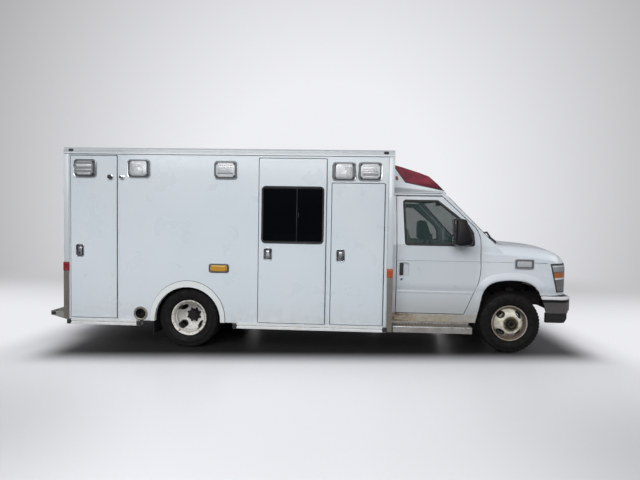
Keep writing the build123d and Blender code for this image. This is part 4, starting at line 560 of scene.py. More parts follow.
class Shape:
    """A mesh gathered from simple forms, each in a material named by its key in M."""

    def __init__(self, name):
        self.name, self.bm, self.used = name, bmesh.new(), []

    def slot(self, material):
        if material not in self.used:
            self.used.append(material)
        return self.used.index(material)

    def skin(self, material, faces):
        for verts in faces:
            face = self.bm.faces.new(verts)
            face.material_index, face.smooth = self.slot(material), True

    def loft(self, material, loops, start=True, end=True, closed=True, around=False):
        """Skins point loops of one length, as a tube or, unless closed, as an open sheet."""
        rows = [[self.bm.verts.new(p) for p in loop] for loop in loops]
        count = len(rows[0])
        faces = []
        for a, b in list(zip(rows, rows[1:])) + ([(rows[-1], rows[0])] if around else []):
            for n in range(count if closed else count - 1):
                m = (n + 1) % count
                faces.append((a[n], a[m], b[m], b[n]))
        caps = [rows[0][::-1]] * start + [rows[-1]] * end
        self.skin(material, faces + ([] if around else caps))

    def plate(self, material, face, centre, size, radius, profile, cap=True, steps=8):
        """A rounded rectangle built outward: profile lists (inset, height) pairs."""
        loops = []
        for inset, height in mm(profile):
            w, h = size[0] / 2 - inset, size[1] / 2 - inset
            r = max(min(radius - inset, w, h), 0.001)
            loop = []
            for corner, (sx, sy) in enumerate(((1, 1), (-1, 1), (-1, -1), (1, -1))):
                for step in range(steps + 1):
                    angle = math.pi / 2 * (corner + step / steps)
                    a, b = sx * (w - r) + r * math.cos(angle), sy * (h - r) + r * math.sin(angle)
                    loop.append(face.at(centre[0] + a, centre[1] + b, height))
            loops.append(loop)
        self.loft(material, loops, False, cap)

    def lathe(self, material, origin, axis, profile, segments=32, cap=False, base=False):
        """Turns (radius, height) pairs about an axis."""
        first = axis.orthogonal().normalized()
        ways = circle(segments, first, axis.cross(first))
        loops = [[origin + axis * height + way * max(radius, 0.00005) for way in ways]
                 for radius, height in mm(profile)]
        self.loft(material, loops, base, cap)

    def box(self, material, a, b, bevel=0.0, segments=2):
        """A block between two opposite corners, with rounded edges."""
        low, high = V(*map(min, a, b)), V(*map(max, a, b))
        made = bmesh.ops.create_cube(self.bm, size=1.0)["verts"]
        bmesh.ops.scale(self.bm, vec=high - low, verts=made)
        bmesh.ops.translate(self.bm, vec=(low + high) / 2, verts=made)
        for face in {f for v in made for f in v.link_faces}:
            face.material_index, face.smooth = self.slot(material), True
        if bevel:
            bmesh.ops.bevel(
                self.bm, geom=list({e for v in made for e in v.link_edges}), segments=segments, profile=0.5,
                offset=min(bevel, min(high - low) * 0.45), affect="EDGES", clamp_overlap=True,
                material=self.slot(material))

    def tube(self, material, points, radius, segments=10, closed=False):
        """A round bar along a line of points."""
        loops = []
        side = None
        last = len(points) - 1
        for n, point in enumerate(points):
            before = points[n - 1] if n or closed else point
            after = points[(n + 1) % len(points)] if n < last or closed else point
            run = (after - before).normalized()
            side = (side - run * side.dot(run)).normalized() if side else run.orthogonal().normalized()
            loops.append([point + way * radius for way in circle(segments, side, run.cross(side))])
        self.loft(material, loops, around=closed)

    def bolt(self, material, origin, axis, radius, height):
        """A domed screw head."""
        dome = [(radius, 0), (radius, height * 0.4), (radius * 0.8, height * 0.85), (radius * 0.35, height)]
        self.lathe(material, origin, axis, dome, 12, True)

    def mirrored(self):
        """Adds the same forms on the vehicle's other side."""
        bm = self.bm
        copy = bmesh.ops.duplicate(bm, geom=bm.verts[:] + bm.edges[:] + bm.faces[:])["geom"]
        for item in copy:
            if isinstance(item, bmesh.types.BMVert):
                item.co.y = -item.co.y
        bmesh.ops.reverse_faces(bm, faces=[item for item in copy if isinstance(item, bmesh.types.BMFace)])

    def done(self, body, replaces=(), angle=38):
        """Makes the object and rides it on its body."""
        bmesh.ops.recalc_face_normals(self.bm, faces=self.bm.faces[:])
        for edge in self.bm.edges:
            if len(edge.link_faces) == 2:
                edge.smooth = edge.calc_face_angle(0) < math.radians(angle)
        mesh = bpy.data.meshes.new(self.name)
        self.bm.to_mesh(mesh)
        self.bm.free()
        for material in self.used:
            mesh.materials.append(M[material])
        piece = add_object(self.name, mesh)
        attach(piece, body)
        if replaces:
            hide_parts(*replaces)
        return piece


# ---------------------------------------------------------------- wheels
LUGS = 8
LUG_CIRCLE = 0.0825
TREAD_PITCHES = 54
CROWN = TYRE - 0.0008
GROOVE_DEPTH = 0.0105
NOTCH_DEPTH = 0.0085
# half section of the tyre from the bead to the tread: distance out and radius
WALL = mm("69 219.5, 78 226, 90 238, 101 256, 107.5 276, 111 292, 108.5 311.5, 106 315, 104.5 332, 103 342,"
          "99 356, 90 367.2")


def add_tyre(shape, centre, side):
    """A tyre with sidewall ribs, four grooves round the tread and notched shoulders."""
    half = WALL + [(0.085, CROWN - 0.003)]
    for groove in (0.058, 0.02):
        half += [(groove + 0.0045, CROWN - 0.001), (groove + 0.0035, CROWN - GROOVE_DEPTH),
                 (groove - 0.0035, CROWN - GROOVE_DEPTH), (groove - 0.0045, CROWN - 0.0006)]
    loops = []
    for n, way in enumerate(circle(TREAD_PITCHES * 4, Z, X)):
        section = [(-y, r) for y, r in half] + half[::-1]
        if n % 4 == 3:
            section = [(y, r - NOTCH_DEPTH if abs(y) > 0.075 and r > 0.35 else r) for y, r in section]
        loops.append([centre + Y * y + way * r for y, r in section])
    shape.loft("tyre", loops, around=True)
    # raised rings on the outer wall
    for out, radius in mm("91.5 247.5, 112.5 304.5"):
        ring = [centre + Y * side * out + way * radius for way in circle(96, Z, X)]
        shape.tube("tyre", ring, 0.0022, 6, True)


def make_tyres():
    half = TYRE_WIDE / 2
    for side, label in SIDES:
        for name, node, body, x in (("front_tyre", "tyre_front", "front_wheel", FRONT),
                                    ("rear_tyres", "tyres_rear", "rear_wheels", REAR)):
            low, high = ends(f"{node}_{label}", 1)
            shape = Shape(f"{name}_{label}")
            for y in ((low + half, high - half) if x == REAR else ((low + high) / 2,)):
                add_tyre(shape, V(x, y, HUB), side)
            shape.done(f"{body}_{label}", (f"{node}_{label}",), 50)


def add_nuts(shape, material, centre, out):
    """Hexagon nuts round a wheel's middle, each with its stud's end standing out of it."""
    for way in circle(LUGS, X, Z, 0.5):
        spot = centre + way * LUG_CIRCLE
        shape.lathe(material, spot, out, "15.625 0, 15.625 4, 12.5 4, 12.5 17.2, 10.25 20", 6, True, True)
        shape.lathe(material, spot, out, "6.5 16, 6.5 28, 5 31", 12, True)


def make_wheel_details():
    """Lug nuts, hub rims and valve stems."""
    for side, label in SIDES:
        out = Y * side
        low, high = ends(f"wheel_front_{label}", 1)
        shape = Shape(f"front_wheel_hub_{label}")
        centre = V(FRONT, side * (max(abs(low), abs(high)) - 0.042), HUB)
        add_nuts(shape, "brass_nut", centre, out)
        shape.lathe("hub", centre, out,
                    "60 1, 62.5 4, 61.5 10, 59 36, 56 42.5, 40 43, 37 40, 35 12, 12 8", 36, True)
        shape.lathe("hub", centre, out, "15 8, 15 24, 12 28", 12, True)
        stem = centre + V(0.15, -side * 0.04, 0.045)
        shape.tube("rubber", [stem, stem + V(0.012, side * 0.03, 0.004)], 0.0045)
        shape.done(f"front_wheel_{label}", (), 40)

        centre = V(REAR, side * (abs(joint_at(f"roll_rear_{label}").y) + 0.01), HUB)
        shape = Shape(f"rear_wheel_hub_{label}")
        add_nuts(shape, "nut", centre, out)
        shape.lathe("hub", centre, out,
                    "66 0, 65 12, 60.5 18, 59.5 60, 54 68, 44 70, 42 72, 15 72.5", 36, True)
        for way in circle(LUGS, X, Z):
            shape.bolt("nut", centre + way * 0.05 + out * 0.069, out, 0.0065, 0.006)
        shape.done(f"rear_wheels_{label}", (), 40)


# ---------------------------------------------------------------- lamps on the module
LAMP_SIZE = (0.292, 0.228)
LAMP_ROUND = 0.046
SIDE_WARNING = ((0.474, 2.206), (2.22, 2.21))      # places ahead of the rear axle, and heights
SIDE_SCENE = ((-0.602, 2.212), (1.91, 2.207))
DOOR_WARNING = (-1.278, 2.21)
END_LAMP = (0.94, 2.24)


def add_bezel(shape, face, at):
    """The frame of a surface lamp: a bright lip, a dark gasket band and four corner screws."""
    w, h = LAMP_SIZE
    shape.plate("chrome", face, at, LAMP_SIZE, LAMP_ROUND, "0 0, 0 8, 3 14, 7.5 16.5, 11 15", False)
    shape.plate("gasket", face, at, (w - 0.021, h - 0.021), LAMP_ROUND - 0.01,
                "0 14.6, 3 15.6, 22 16, 26 15")
    for sx in (-1, 1):
        for sy in (-1, 1):
            spot = face.at(at[0] + sx * (w / 2 - 0.041), at[1] + sy * (h / 2 - 0.038), 0.0158)
            shape.bolt("rubber", spot, face.w, 0.011, 0.006)


def cut_block(shape, material, face, at, rows):
    """An eight-sided block; its rows are half width, half height, cut corner and height (mm)."""
    loops = []
    for w, h, cut, out in mm(rows):
        corners = ((w, h - cut), (w - cut, h), (-w + cut, h), (-w, h - cut),
                   (-w, -h + cut), (-w + cut, -h), (w - cut, -h), (w, -h + cut))
        loops.append([face.at(at[0] + a, at[1] + b, out) for a, b in corners])
    shape.loft(material, loops, False)


def add_warning_lamp(shape, face, at):
    """A flashing lamp: a stepped clear lens with its corners cut, over louvred reflectors."""
    add_bezel(shape, face, at)
    cut_block(shape, "bulb", face, at, "113 85 30 15.8, 113 85 30 26, 103 75 27 33")
    louvres = mm("52 68 83 36.5, 18 46 93 37.7, -6 12 93 36.5,"
                 "-28 -12 93 37.7, -52 -34 93 36.5, -71 -57 83 37.7")
    materials = ("bulb", "bulb", "bright", "bright", "gasket", "bulb")
    for material, (low, high, half, top) in zip(materials, louvres):
        shape.box(material, face.at(at[0] - half, at[1] + low, 0.0325),
                  face.at(at[0] + half, at[1] + high, top), 0.002)
    cut_block(shape, "clear", face, at, "115 87 30 16.5, 115 87 30 32, 107 79 28 42")


def add_scene_lamp(shape, face, at):
    """A flood lamp: a squared fluted cover over a silvered bowl with its bulb low in the middle."""
    add_bezel(shape, face, at)
    size = (0.204, 0.18)
    shape.plate("bright", face, at, size, 0.034, "0 15.5, 2 23, 20 29, 50 30.5")
    shape.lathe("bulb", face.at(at[0], at[1] - 0.03, 0.029), face.w, "48 0, 46 3.5, 36 6, 18 8.5", 28, True)
    shape.plate("fluted", face, at, size, 0.036, "-3 16.5, -2 30, 4 40, 16 44, 60 46.5")


def make_lamps():
    shape = Shape("lamps_on_walls")
    face = side_face(-1, SIDE)
    for add_lamp, places in ((add_warning_lamp, SIDE_WARNING), (add_scene_lamp, SIDE_SCENE)):
        for x, z in places:
            add_lamp(shape, face, (REAR + x, z))
    shape.mirrored()
    for side in (-1, 1):
        add_warning_lamp(shape, rear_face(), (side * END_LAMP[0], END_LAMP[1]))
    shape.done("root", ("body_lamps",))
    for side, label in SIDES:
        shape = Shape(f"lamp_on_rear_locker_{label}")
        add_warning_lamp(shape, side_face(side, SIDE + 0.0008), (REAR + DOOR_WARNING[0], DOOR_WARNING[1]))
        shape.done(f"locker_door_{label}_rear")


GUARD_TOP = 0.94
GUARD_LAMP = 0.107


def make_markers():
    """Turn lamps, roof markers, the lamps on the corner guards and the tail lamps."""
    shape = Shape("markers")
    face = side_face(-1, SIDE)
    at = (REAR + 0.3965, 1.009)
    shape.plate("gasket", face, at, (0.25, 0.111), 0.03, "0 0, 0 6, 3 10, 10 12, 16 10, 18 7")
    shape.plate("yellow", face, at, (0.21, 0.078), 0.018, "0 7, 1 18, 5 23, 14 25.5")
    for b in (0.024, -0.024):
        for a in (-0.088, 0.088):
            shape.bolt("rubber", face.at(at[0] + a, at[1] + b, 0.0255), face.w, 0.005, 0.0025)
    for x in (REAR - 1.459, REAR + 2.408):
        shape.plate("rubber", face, (x, 2.434), (0.062, 0.03), 0.0149, "0 0, 0 6, 4 10, 8 10.5")
    # lamps wrapped round the top of the corner guards
    for x, inward, lens in ((MODULE_REAR, 1, "crimson"), (MODULE_FRONT, -1, "orange")):
        edge, inner = x - inward * 0.0045, x + inward * 0.07
        shape.box(lens, (edge, -SIDE - 0.0145, GUARD_TOP),
                  (inner, -SIDE + 0.0005, GUARD_TOP + GUARD_LAMP), 0.004)
        for level in (0.018, 0.089):
            spot = V((edge + inner) / 2, -SIDE - 0.0143, GUARD_TOP + level)
            shape.bolt("chrome", spot, -Y, 0.004, 0.002)
    shape.mirrored()
    for side in (-1, 1):
        centre = rear_face().at(side * 1.0, 0.56, 0)
        shape.lathe("rubber", centre, -X, "60.5 0, 60.5 8, 56 12, 54 10", 40)
        shape.lathe("crimson", centre, -X, "54.5 8, 50 16.5, 35 19, 12 19.5", 40, True)
    shape.done("root", ("marker_lamps",))


# ---------------------------------------------------------------- module fittings
LATCH_IN, LATCH_Z = 0.114, 1.195         # a latch's distance from its door's free edge, and height
SEAL_DEPTH = 0.0385


def add_latch(shape, face, x, z):
    """A recessed paddle latch: bright frame, dark dish, paddle and key cylinder."""
    shape.plate("satin", face, (x, z), (0.106, 0.158), 0.026, "0 0, 0 2.2, 2 4.2, 6 4.6, 8.5 3, 10 -6", False)
    shape.plate("dark_chrome", face, (x, z), (0.087, 0.139), 0.018, "0 -6.2, 4 -7.2, 10 -7.5")
    shape.plate("satin", face, (x, z - 0.006), (0.046, 0.098), 0.014, "0 -7, 0 6, 4 9, 12 9.8")
    shape.plate("dark_chrome", face, (x, z - 0.032), (0.03, 0.02), 0.006, "0 9.8, 2 10.4, 6 10")
    shape.lathe("chrome", face.at(x, z + 0.056, -0.0072), face.w, "12.5 0, 12.5 6, 10.5 8, 4 8.4", 20, True)
    shape.box("rubber", face.at(x - 0.0012, z + 0.05, 0.0008), face.at(x + 0.0012, z + 0.062, 0.0014))


def add_window_frame(shape, face, low, high, radius=0.045):
    """A black rubber frame lapping the panel round a flush window."""
    (a, b), (c, d) = low, high
    shape.plate("rubber", face, ((a + c) / 2, (b + d) / 2), (c - a + 0.018, d - b + 0.018), radius + 0.009,
                "0 0, 0 2.2, 3 4.2, 9 4.6, 16 3, 22 -3", False)


def make_door_fittings():
    """Latches and rubber seals of the side doors; latches, grab handles and windows of the rear ones."""
    for node in ("entry_door", "locker_door_right_front", "locker_door_right_rear",
                 "locker_door_left_front", "locker_door_left_mid", "locker_door_left_rear"):
        low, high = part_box(node)
        shape = Shape(f"latch_of_{node}")
        face = side_face(1 if "left" in node else -1, SIDE)
        add_latch(shape, face, low.x + LATCH_IN, LATCH_Z)
        # bulb seal round the edge of the door, inside its joint
        start, stop, foot, top = low.x - 0.0035, high.x - 0.006, low.z - 0.0035, high.z + 0.0035
        outline = ((start, foot), (stop, foot), (stop, top), (start, top))
        shape.tube("rubber", [face.at(a, b, -SEAL_DEPTH) for a, b in outline], 0.0034, 6, True)
        shape.done(node, (), 40)
    face = rear_face()
    for side, label in SIDES:
        shape = Shape(f"latch_of_rear_door_{label}")
        middle, rail = side * 0.111, side * 0.06
        shape.plate("satin", face, (middle, LATCH_Z), (0.104, 0.156), 0.024,
                    "0 0, 0 14.5, 3 16.5, 9 17, 14 15.5")
        shape.plate("dark_chrome", face, (middle, LATCH_Z - 0.005), (0.052, 0.104), 0.014,
                    "0 15, 1 22.5, 6 25, 14 25.5")
        shape.lathe("chrome", face.at(middle, 1.252, 0.0155), face.w, "10.5 0, 10 4, 4 4.5", 20, True)
        grab = mm("1320 4, 1330 40, 1365 52, 1640 52, 1675 40, 1685 4")
        shape.tube("satin", [face.at(rail, z, out) for z, out in grab], 0.0105, 14)
        for z in (1.32, 1.685):
            shape.lathe("satin", face.at(rail, z, 0), face.w, "22 0, 21 4, 12 5.5", 20, True)
        low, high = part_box(f"rear_window_{label}")
        add_window_frame(shape, face, low.yz, high.yz)
        shape.done(f"rear_door_{label}", (), 40)


def make_entry_window():
    """The sliding window of the entry door: frame, fixed bar, rails and latch, and a pale blind."""
    low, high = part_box("entry_window")
    face = side_face(-1, SIDE)
    middle = (low + high) / 2
    bar = middle.x + 0.05
    shape = Shape("entry_window_frame")
    add_window_frame(shape, face, low.xz, high.xz)
    shape.box("window_bar", face.at(bar - 0.006, low.z + 0.012, -0.0045),
              face.at(bar + 0.006, high.z - 0.012, -0.003), 0.0005)
    for z in (low.z + 0.018, high.z - 0.018):
        shape.box("window_bar", face.at(low.x + 0.03, z - 0.006, -0.004),
                  face.at(high.x - 0.03, z + 0.006, -0.0015), 0.002)
    shape.box("window_bar", face.at(bar + 0.016, middle.z - 0.028, -0.004),
              face.at(bar + 0.026, middle.z + 0.028, 0.004), 0.002)
    shape.done("entry_door")
    shape = Shape("entry_window_inside")
    shape.box("liner", face.at(low.x + 0.02, low.z + 0.02, -0.0425),
              face.at(middle.x - 0.07, high.z - 0.25, -0.0405), 0.001)
    shape.done("entry_door")


ARCH = REAR + 0.009                      # middle of the rear wheel arch
RING_HALF, RING_TOP = 0.466, 0.846       # outer edge of the ring round it


def make_skirt_details():
    """End caps of the rub rails, the bead round each wheel arch ring and rivets on the guards."""
    shape = Shape("skirt_details")
    rail = ends("skirt_trim", 1)[1]
    rail_ends = (MODULE_REAR + 0.05, ARCH - 0.585, ARCH + 0.571, MODULE_FRONT - 0.062)
    for x, way in zip(rail_ends, (-1, 1, -1, 1)):
        shape.box("rubber", (x - way * 0.052, -rail - 0.002, SKIRT - 0.064),
                  (x + way * 0.006, -SIDE + 0.004, SKIRT + 0.001), 0.008, 3)
    centre = V(ARCH, -SIDE - 0.001, RING_TOP - RING_HALF)
    arc = [centre + way * RING_HALF for way in circle(80, X, Z)[:41]]
    feet = [V(ARCH + s * RING_HALF, -SIDE - 0.001, SKIRT + 0.002) for s in (1, -1)]
    shape.tube("trim_black", feet[:1] + arc + feet[1:], 0.0042, 6)
    for x in (MODULE_REAR + 0.03, MODULE_FRONT - 0.03):
        for n in range(6):
            shape.bolt("satin", V(x, -SIDE - 0.005, SKIRT + 0.04 + n * 0.11), -Y, 0.0055, 0.003)
    shape.mirrored()
    shape.done("root", (), 40)


def make_body_trim():
    """Extruded aluminium along the roof and down the module's four corners."""
    shape = Shape("module_extrusions")
    for x, way in ((MODULE_REAR, 1), (MODULE_FRONT, -1)):
        shape.box("trim", (x + way * 0.0005, -SIDE - 0.0045, GUARD_TOP + GUARD_LAMP + 0.002),
                  (x + way * 0.063, -SIDE + 0.002, DRIP - 0.004), 0.002)
        shape.box("trim_black", (x + way * 0.067, -SIDE - 0.0006, SKIRT + 0.004),
                  (x + way * 0.07, -SIDE + 0.001, DRIP - 0.006), 0.0002)
    # drip rail under the roof's edge: a lipped strip
    start, stop = MODULE_REAR + 0.004, MODULE_FRONT - 0.004
    section = mm("0 0, 0 12, 12 12, 14.5 10, 14.5 -3, 12 -3, 12 7, 2 7")
    shape.loft("trim", [[V(x, -SIDE - a, DRIP + b) for a, b in section] for x in (start, stop)])
    # black strip under the drip rail: painted shadow
    shape.box("trim_black", (start, -SIDE - 0.0012, DRIP - 0.007),
              (stop, -SIDE + 0.001, DRIP - 0.001), 0.0003)
    shape.box("trim", (start - 0.002, -SIDE - 0.0025, ROOF - 0.036),
              (stop + 0.002, -SIDE + 0.001, ROOF - 0.031), 0.001)
    shape.mirrored()
    # seams across the roof
    for n in range(4):
        x = MODULE_REAR + 0.82 * (n + 1)
        shape.box("trim", (x - 0.02, -SIDE + 0.05, ROOF - 0.002),
                  (x + 0.02, SIDE - 0.05, ROOF - 0.0004), 0.0004)
    shape.done("root", (), 30)


def make_door_holders():
    """The two halves of the rear locker door's hold-open: cup on the door, bumper on the wall."""
    for side, label in SIDES:
        face = side_face(side, SIDE)
        for part, x, z, body, forms in (
            ("door", -0.96, 2.107, f"locker_door_{label}_rear", (
                ("chrome", 0, "27 0, 27 4, 15 7, 13 16", 24, False),
                ("rubber", 0.014, "13 0, 24 4, 27.5 13, 25.5 23, 15 30, 5 32", 24, True))),
            ("wall", -0.815, 2.108, "root", (
                ("chrome", 0, "27 0, 27 4, 18 8, 16 18, 24 24, 26 32, 21 38.5, 10 41", 24, True),
                ("rubber", 0.0395, "11 0, 10 3.5, 4 4", 16, True))),
        ):
            shape = Shape(f"holder_on_{part}_{label}")
            for material, out, profile, segments, cap in forms:
                shape.lathe(material, face.at(REAR + x, z, out), face.w, profile, segments, cap)
            shape.done(body)


def make_exhaust():
    """A rolled ring, and a dark pipe end in the skirt."""
    face = side_face(-1, SIDE)
    centre = face.at(REAR - 0.58, 0.426, 0)
    shape = Shape("exhaust_ring")
    shape.lathe("stainless", centre, face.w, "86.2 0, 86.2 8, 82 13.5, 74 15, 66 14, 60 11, 58.5 -30", 44)
    shape.lathe("exhaust", centre, face.w, "58.5 -30, 56 -50, 56 -150, 20 -150", 36, True)
    shape.lathe("exhaust", centre, face.w, "38.5 -45, 38.5 2, 40 4, 37.2 4.5, 36 1.5, 36 -120", 32)
    screws, turned = 6, 0.4              # how many, and the first one's angle
    for way in circle(screws, face.u, face.v, turned * screws / (2 * math.pi)):
        shape.bolt("satin", centre + way * 0.0745 + face.w * 0.015, face.w, 0.0045, 0.0025)
    shape.done("root", (), 35)


# ---------------------------------------------------------------- steps
BOARD_OUTER, BOARD_INNER = -1.122, -CAB_SIDE + 0.028


def add_lozenges(shape, low, high, z, pitch=0.03, lean=0.0):
    """Raised lozenges in alternating directions, as on checker plate."""
    for i in range(int((high[0] - low[0]) / pitch)):
        for j in range(int((high[1] - low[1]) / pitch)):
            y = pitch * (j + 0.5)
            base = V(low[0] + pitch * (i + 0.5), low[1] + y, z + lean * y)
            turn = math.radians(45 if (i + j) % 2 else -45)
            along = V(math.cos(turn), math.sin(turn), 0) * 0.46 * pitch
            across = V(-math.sin(turn), math.cos(turn), 0) * 0.14 * pitch
            ring = [base + along, base + across, base - along, base - across]
            along, across, top = along * 0.55, across * 0.4, base + Z * 0.0018
            shape.loft("lozenge", [ring, [top + along, top + across, top - along, top - across]], False)


def make_steps():
    shape = Shape("running_board_treads")
    low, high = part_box("running_boards")
    lean = (0.344 - 0.338) / (BOARD_INNER - BOARD_OUTER)
    add_lozenges(shape, (low.x + 0.01, BOARD_OUTER + 0.004), (high.x - 0.01, -0.985), 0.3383, 0.04, lean)
    for x in (low.x + 0.004, high.x - 0.004):
        shape.box("satin", (x - 0.003, BOARD_OUTER - 0.008, 0.264),
                  (x + 0.003, BOARD_INNER + 0.01, 0.333), 0.001)
    shape.tube("satin", [V(low.x + 0.002, -1.129, 0.329), V(high.x - 0.002, -1.129, 0.329)], 0.0045, 8)
    shape.mirrored()
    shape.done("root", (), 30)

    shape = Shape("rear_step_treads")
    low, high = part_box("rear_step")
    add_lozenges(shape, (low.x + 0.012, low.y + 0.03), (MODULE_REAR - 0.012, high.y - 0.03), 0.4121)
    for side in (-1, 1):
        shape.box("rubber", (low.x, side * 1.131, 0.352), (low.x + 0.075, side * 1.07, 0.4145), 0.014, 3)
    shape.box("satin", (low.x + 0.0006, low.y + 0.065, 0.398),
              (low.x + 0.005, high.y - 0.065, 0.409), 0.001)
    shape.done("root", (), 30)


# ---------------------------------------------------------------- cab
BELT, ROOF_EDGE = 1.335, 1.99           # heights between which the cab's glass leans
BELT_HALF, ROOF_HALF = 0.998, 0.862      # half widths of the cab at these
SWAGE_Z, CREASE_Z = 1.145, 0.744         # heights of its feature line and of the crease below
TUCK = 0.0752                            # how fast it narrows below the crease


def cab_half(lean):
    return BELT_HALF + (ROOF_HALF - BELT_HALF) * lean


def lean_at(z):
    return (z - BELT) / (ROOF_EDGE - BELT)


def rounded_path(corners, radius, steps):
    """The closed outline of a polygon with its corners rounded."""
    path = []
    count = len(corners)
    for n in range(count):
        before, here, after = (Vector(corners[(n + k) % count]) for k in (-1, 0, 1))
        into, out = (before - here).normalized(), (after - here).normalized()
        half = math.acos(max(-1, min(1, into.dot(out)))) / 2
        reach = min(radius / math.tan(half), (before - here).length * 0.45, (after - here).length * 0.45)
        start, stop = here + into * reach, here + out * reach
        for k in range(steps + 1):
            t = k / steps
            path.append(start * (1 - t) ** 2 + here * 2 * t * (1 - t) + stop * t ** 2)
    return path


def inset_path(path, inset):
    """The same closed outline drawn in by inset."""
    after = path[1:] + path[:1]
    sign = 1 if sum(p.x * q.y - q.x * p.y for p, q in zip(path, after)) > 0 else -1
    result = []
    for before, here, after in zip(path[-1:] + path, path, after):
        run = after - before
        if run.length < 1e-9:
            run = after - here
        run.normalize()
        result.append(here + V(-run.y, run.x) * sign * inset)
    return result


def make_door_windows():
    """Rubber frames of the cab doors' windows."""
    corners = [(MODULE_FRONT + 0.184, 1.336), (MODULE_FRONT + 0.162, 1.893), (FRONT - 0.908, 1.893),
               (FRONT - 0.66, 1.692), (FRONT - 0.535, 1.588), (FRONT - 0.478, 1.49), (FRONT - 0.47, 1.336)]
    path = rounded_path(corners, 0.03, 5)
    for side, label in SIDES:
        shape = Shape(f"door_window_frame_{label}")
        rows = [[V(x, side * (cab_half(lean_at(z)) + out), z) for x, z in inset_path(path, inset)]
                for inset, out in mm("-10 -1, -10 3, -4 5.5, 10 5, 18 0, 20 -18")]
        shape.loft("rubber", rows, False, False)
        shape.done(f"cab_door_{label}", (), 50)


def screen_point(lean, across):
    """A point on the windscreen: lean 0 at the belt and 1 at the roof, across from -1 to 1."""
    edge, middle = FRONT - 0.198 - 0.62 * lean, FRONT - 0.053 - 0.67 * lean
    x = edge + (middle - edge) * (1 - across * across)
    return V(x, cab_half(lean) * across, BELT + (ROOF_EDGE - BELT) * lean)


def make_windscreen_trim():
    """The rubber round the windscreen, the cowl's black band and two wipers."""
    shape = Shape("windscreen_trim")
    low, high = lean_at(1.392), lean_at(1.945)
    width = 0.925
    normal = V(0.7, 0, 0.71)
    border = [screen_point(low, -width + 2 * width * k / 24) for k in range(25)]
    border += [screen_point(low + (high - low) * k / 8, width) for k in range(1, 9)]
    border += [screen_point(high, width - 2 * width * k / 24) for k in range(1, 25)]
    border += [screen_point(high + (low - high) * k / 8, -width) for k in range(1, 8)]
    shape.tube("rubber", [p + normal * 0.001 for p in border], 0.009, 8, True)
    # cowl band ahead of the glass
    foot = [screen_point(0.004, -0.725 + 1.45 * k / 30) for k in range(31)]
    rows = [[V(min(p.x + out, FRONT - 0.081), p.y, 1.3395 - 0.02 * out) for p in foot]
            for out in (0.004, 0.05, 0.12)]
    shape.loft("black", rows, False, False, closed=False)
    # two wipers, each parked to the left of its pivot
    for pivot_y, start, stop in ((-0.7, -0.78, -0.1), (0.02, -0.02, 0.66)):
        pivot = V(FRONT - 0.103, pivot_y, 1.336)
        blade = []
        for k in range(13):
            lean = 0.215 - 0.05 * k / 12 + 0.012 * math.sin(math.pi * k / 12)
            blade.append(screen_point(lean, start + (stop - start) * k / 12) + normal * 0.016)
        end = blade[4] + normal * 0.016
        arm = [pivot, pivot + V(-0.01, 0, 0.05), pivot + V(-0.07, 0.01, 0.098),
               end + V(0.04, -0.02, 0.006), end]
        shape.tube("trim_black", arm, 0.0125, 8)
        shape.lathe("trim_black", pivot - Z * 0.02, Z, "18 0, 18 34, 13 48, 5 52", 20, True)
        shape.tube("rubber", blade, 0.0095, 6)
        shape.tube("trim_black", [p + normal * 0.011 for p in blade[1:-1]], 0.006, 6)
    mount = screen_point(0.88, 0)
    shape.box("black", mount + V(-0.075, -0.115, -0.045), mount + V(-0.05, 0.115, 0.015), 0.01)
    shape.done("root", (), 45)


def make_mirrors():
    """Mirror heads: a bowed shell with a ribbed foot, the glasses facing back, and two arms."""
    outline = [(FRONT - 0.775, 1.673), (FRONT - 0.639, 1.664), (FRONT - 0.548, 1.414),
               (FRONT - 0.572, 1.345), (FRONT - 0.699, 1.327), (FRONT - 0.778, 1.35)]
    path = rounded_path(outline, 0.05, 6)
    back = FRONT - 0.7745
    for side, label in SIDES:
        shape = Shape(f"mirror_head_{label}")
        shape.loft("shell", [
            [V(p.x, side * depth, p.y) for p in inset_path(path, inset)] for depth, inset in mm(
                "1092 30, 1094 14, 1104 3, 1125 0, 1180 2, 1225 7, 1252 13, 1264 22, 1268.5 31")])
        # a frame on the rear face, then its upper and lower glass
        shape.box("trim_black", (back - 0.004, side * 1.105, 1.362),
                  (back + 0.012, side * 1.255, 1.655), 0.004)
        for foot, top in ((1.47, 1.646), (1.372, 1.455)):
            shape.box("mirror", (back - 0.006, side * 1.115, foot), (back - 0.002, side * 1.246, top), 0.0015)
        # ribs low on the head
        for n in range(3):
            z = 1.372 + n * 0.016
            rib = [V(FRONT - 0.7 + 0.01 * n, side * 1.2665, z), V(FRONT - 0.59, side * 1.2665, z + 0.02)]
            shape.tube("trim_black", rib, 0.0025, 6)
        for z, inner, foot in ((1.455, 0.992, 1.42), (1.385, 1.000, 1.352)):
            a, b = V(FRONT - 0.64, side * 1.095, z), V(FRONT - 0.585, side * inner, foot)
            shape.tube("black", [a, (a + b) / 2 + V(0, side * 0.018, 0.012), b], 0.013, 12)
        shape.box("black", (FRONT - 0.63, side * 0.978, 1.338),
                  (FRONT - 0.552, side * 1.012, 1.44), 0.01, 3)
        shape.done(f"cab_door_{label}", (f"mirror_{label}",), 50)


def add_strip(shape, material, face, start, stop, z, section):
    """A strip along the cab: its section is (height, distance out) in mm."""
    shape.loft(material, [[face.at(x, z + b, out) for b, out in mm(section)] for x in (start, stop)])


def add_swage(shape, face, start, stop):
    """The thin feature line that runs along the cab below the windows, with a black strip under it as its
    painted shadow.
    """
    add_strip(shape, "cab", face, start, stop, SWAGE_Z, "-6 -1, -2 1.4, 2 1.4, 6 -1")
    # black strip under the bead: painted shadow
    shape.box("trim_black", face.at(start, SWAGE_Z - 0.0085, -0.002), face.at(stop, SWAGE_Z - 0.0062, 0.0004))


